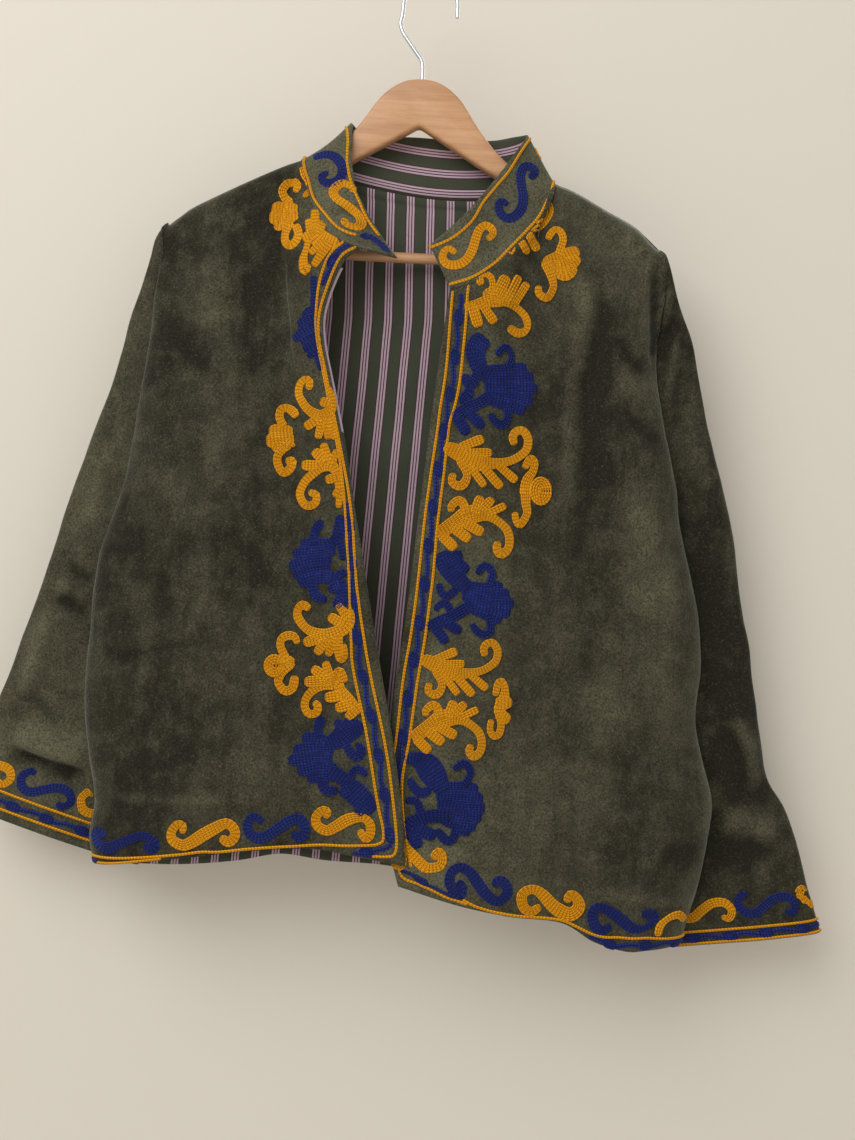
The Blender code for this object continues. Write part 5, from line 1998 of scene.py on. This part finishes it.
# %% [markdown]
# ## Collar, cuffs and back
# Scrolls like a lying S alternate in yellow and blue round the collar, round both cuffs and along the
# back's hem. Most of them are one drawing, stretched or turned over to fit its place.

# %% Scrolls in a row
SCROLL = (
    (-13, 9, 5), (-18, 10.5, 6), (-23, 3, 7), (-18.5, -6, 8), (-10, -7, 8), (0, -0.5, 8), (10, 5, 8),
    (20, 4.5, 8), (24.5, -3, 7), (19.5, -10.5, 6), (14.5, -7.5, 5),
)


def work_scroll(piece, far, up, blue, wide, high, mirror):
    """One scroll on a panel. wide, high: how much it is stretched. mirror: -1 turns it over."""
    thread, look = ("_indigo", BLUE_LOOK) if blue else ("_saffron", YELLOW_LOOK)
    for row in rows_of([(mirror * x * wide, y * high, width) for x, y, width in SCROLL]):
        placed = np.column_stack([far + row[:, 0], up + row[:, 1], row[:, 2]])
        stitch(piece + thread, look, panels[piece], placed)


print(f"a scroll is filled with {len(rows_of(SCROLL))} rows of stitch")

# %% [markdown]
# ## Collar
# A yellow line follows both edges of the band. Three scrolls behind the neck and one at the right front
# have the common shape, and the other ones in front are drawn freehand.

# %% Collar
COLLAR_TOP = (
    (23, 39.5), (50, 38.5), (72, 38.6), (90, 39.4), (103, 42), (125, 45), (170, 44), (230, 43), (290, 44),
    (313, 45.2), (349, 50), (384, 50.5), (410, 46), (438, 42.6), (462, 43), (484, 42),
)
COLLAR_BASE = (
    (487, 4.2), (431, 4.4), (345, 3.2), (290, 3), (230, 3), (170, 3), (107, 2.6), (85, 4.1), (65, 3.7),
    (47, 6.7), (33.4, 10.1), (26, 15), (23, 20),
)
COLLAR_SCROLLS = (  # far, up, blue, wide, high
    (54, 28, False, 0.9, 0.95),
    (163, 23, False, 1.1, 1),
    (227, 22, True, 1.1, 1),
    (291, 23, False, 1.1, 1),
)
COLLAR_MOTIFS = (
    ("near_collar_blue", -78, -170),
    ("collar_yellow", 42.3, -232.5),
    ("collar_blue", 79.8, -182),
)
COLLAR_CURL = ((4, 30, 6), (14, 33, 7), (22, 29, 7), (20, 22, 5))  # at the band's right front end
panel = panels["collar"]
work_line("collar_saffron", panel, COLLAR_TOP)
work_line("collar_saffron", panel, COLLAR_BASE)
for scroll in COLLAR_SCROLLS:
    work_scroll("collar", *scroll, -1)
for motif in COLLAR_MOTIFS:
    work_seen("collar", panel, *motif)
for row in rows_of(COLLAR_CURL):
    stitch("collar_indigo", BLUE_LOOK, panel, row)
print(f"collar: {len(COLLAR_SCROLLS)} scrolls of the common shape and {len(COLLAR_MOTIFS)} drawn freehand")

# %% [markdown]
# ## Cuffs
# Scrolls go all round each cuff above the border, an even number of them, so that the colours still
# alternate where the round closes. Distances are measured up from the cuff's edge, or round it from its
# outer fold.

# %% Cuffs
CUFF_COLUMNS = ("first", "scrolls", "inner", "vine", "outer", "mirror")
CUFFS = {
    "right": (72.6, 39, 23.6, 15, 8.8, 1),
    "left": (45, 31, 12, 6.6, 1.6, -1),
}
SCROLL_STEP = 58  # mm from one scroll to the next, about
CUFF_ROW = -8  # the row of the sleeve's grid that is measured
for side, values in CUFFS.items():
    cuff = dict(zip(CUFF_COLUMNS, values))
    piece = side + "_sleeve"
    panel = panels[piece]
    grid = panel.grid[CUFF_ROW]
    length = np.linalg.norm(np.roll(grid, -1, axis=0) - grid, axis=1).sum()
    count = 2 * round(length / SCROLL_STEP / 2)
    for k in range(count):
        far = (cuff["first"] + k * length / count) % length
        work_scroll(piece, far, cuff["scrolls"], k % 2 == 0, 1, 0.95, cuff["mirror"])
    places = np.linspace(0, length, 60)
    for up in (cuff["inner"], cuff["outer"]):
        work_line(piece + "_saffron", panel, [(x, up) for x in places])
    work_vine(piece + "_indigo", panel, [(x, cuff["vine"]) for x in places])
    print(f"{side} cuff: {length:.0f} mm round, {count} scrolls")

# %% [markdown]
# ## Back
# The photograph doesn't show the back. The border and the scrolls go on round its hem, since they do so
# round the cuffs.

# %% Back
BACK_LINES, BACK_VINE, BACK_SCROLLS = (6, 20), 13, 38  # mm up from the hem
BACK_STEP, BACK_END = 60, 4
panel = panels["back"]
width = panel.far[-1, -1]
places = np.linspace(BACK_END, width - BACK_END, 40)
for up in BACK_LINES:
    work_line("back_saffron", panel, [(x, up) for x in places])
work_vine("back_indigo", panel, [(x, BACK_VINE) for x in places])
count = round(width / BACK_STEP)
for k in range(count):
    work_scroll("back", (k + 0.5) * width / count, BACK_SCROLLS, k % 2 == 0, 1, 1, -1)
print(f"back: {width:.0f} mm along the hem, {count} scrolls")

# %% [markdown]
# ## Threads as pieces
# Each colour on each panel is one piece of its own, since the thread lies on the cloth and isn't part of
# it.


# %% Make the threads
sewn = {}


def make_threads():
    for name, store in threads.items():
        mesh = bpy.data.meshes.new(name)
        points, faces = np.concatenate(store["points"]), np.concatenate(store["faces"])
        mesh.from_pydata((points * MM).tolist(), [], faces.tolist())
        layer = mesh.uv_layers.new(name="cloth")
        layer.data.foreach_set("uv", np.concatenate(store["spots"]).astype(np.float32).ravel())
        mesh.materials.append(store["look"])
        mesh.shade_smooth()
        obj = add_object(name, mesh)
        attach(obj, "root")
        sewn[name] = obj
        print(f"{name}: {2 * len(faces)} triangles")


make_threads()

# %% [markdown]
# ## Threads on each cloth
# For each cloth piece, the threads that lie on it are found.

for name, (obj, flat, area) in pieces.items():
    node = name.removesuffix("_velvet")
    on_it = [sewn[key] for key in sewn if key.rsplit("_", 1)[0] == node]

# %% [markdown]
# ## Camera
# The camera stands where the coat looks as in the photograph: level, a little over a metre in front, and
# rolled by three degrees.

# %% Camera
camera = bpy.data.cameras.new("camera")
camera.lens, camera.sensor_width = 40.39, 36
eye = add_object("camera", camera)
eye.location = (0.0226, -1.10, -0.506)
eye.rotation_euler = (math.radians(90), math.radians(-3), 0)
bpy.context.scene.camera = eye
print(f"camera {-eye.location.y:.2f} m in front of the coat, {camera.lens:.1f} mm lens")

# %% [markdown]
# ## Wall and floor
# The coat hangs before a plain pale wall. The wall shows only to the camera and only from its front, so
# from behind it hides nothing.

# %% Wall and floor
WALL_Y, FLOOR_Z = 0.078, -1.25


def make_plaster(name, shade, one_sided):
    look = Look(name)
    spot = look.place()
    uneven = look.noise(spot, 2.2, 3)
    rough = look.noise(spot, 120, 3)
    tint = look.mix(uneven * 0.5, shade, tuple(c * 0.93 for c in shade[:3]) + (1,))
    sockets = {"Base Color": tint, "Roughness": 0.9, "Normal": look.bump(rough, 0.0006, 0.3)}
    shader = look.node("ShaderNodeBsdfPrincipled", {}, sockets)
    if one_sided:
        behind = look.node("ShaderNodeNewGeometry", {}, {}, "Backfacing")
        clear = look.node("ShaderNodeBsdfTransparent", {}, {})
        shader = look.node("ShaderNodeMixShader", {}, {0: behind, 1: shader, 2: clear})
    look.node("ShaderNodeOutputMaterial", {}, {"Surface": shader}, None)
    return look.material


bpy.ops.mesh.primitive_plane_add(size=6, location=(0, WALL_Y, -0.5), rotation=(math.pi / 2, 0, 0))
wall = bpy.context.object
wall.name = "wall"
wall.data.materials.append(make_plaster("cream_wall", colour(226, 219, 206), True))
wall.visible_diffuse = wall.visible_glossy = wall.visible_shadow = wall.visible_transmission = False
bpy.ops.mesh.primitive_plane_add(size=8, location=(0, 0, FLOOR_Z))
floor = bpy.context.object
floor.name = "floor"
floor.data.materials.append(make_plaster("pale_floor", colour(214, 210, 202), False))
print(f"wall {WALL_Y * 1000:.0f} mm behind the coat's middle")

# %% [markdown]
# ## Light
# One large soft light from the upper left gives the coat its shape, and the plain world light fills its
# shadows. A second soft light does the same for whoever looks from behind.

# %% Light
COAT_MIDDLE = (0, 0, -0.45)
WORLD_TINT, WORLD_STRENGTH = (1, 0.985, 0.96, 1), 0.62
world = bpy.data.worlds.new("soft_light")
bpy.context.scene.world = world
world.use_nodes = True
sky = world.node_tree.nodes["Background"]
sky.inputs["Color"].default_value = WORLD_TINT
sky.inputs["Strength"].default_value = WORLD_STRENGTH


def area_light(name, place, size, power):
    """A round soft light that faces the coat: its size in metres and its power in watts."""
    lamp = bpy.data.lights.new(name, "AREA")
    lamp.shape, lamp.size, lamp.energy = "DISK", size, power
    obj = add_object(name, lamp)
    obj.location = place
    obj.rotation_euler = (Vector(COAT_MIDDLE) - Vector(place)).to_track_quat("-Z", "Y").to_euler()
    print(f"light {name}: {power} watts, {size} m wide")


area_light("key", (-1.1, -1.9, 1.0), 2.1, 37)
area_light("behind", (0.8, 2.2, 0.6), 2.0, 25)
bpy.context.scene.view_settings.view_transform = "Standard"
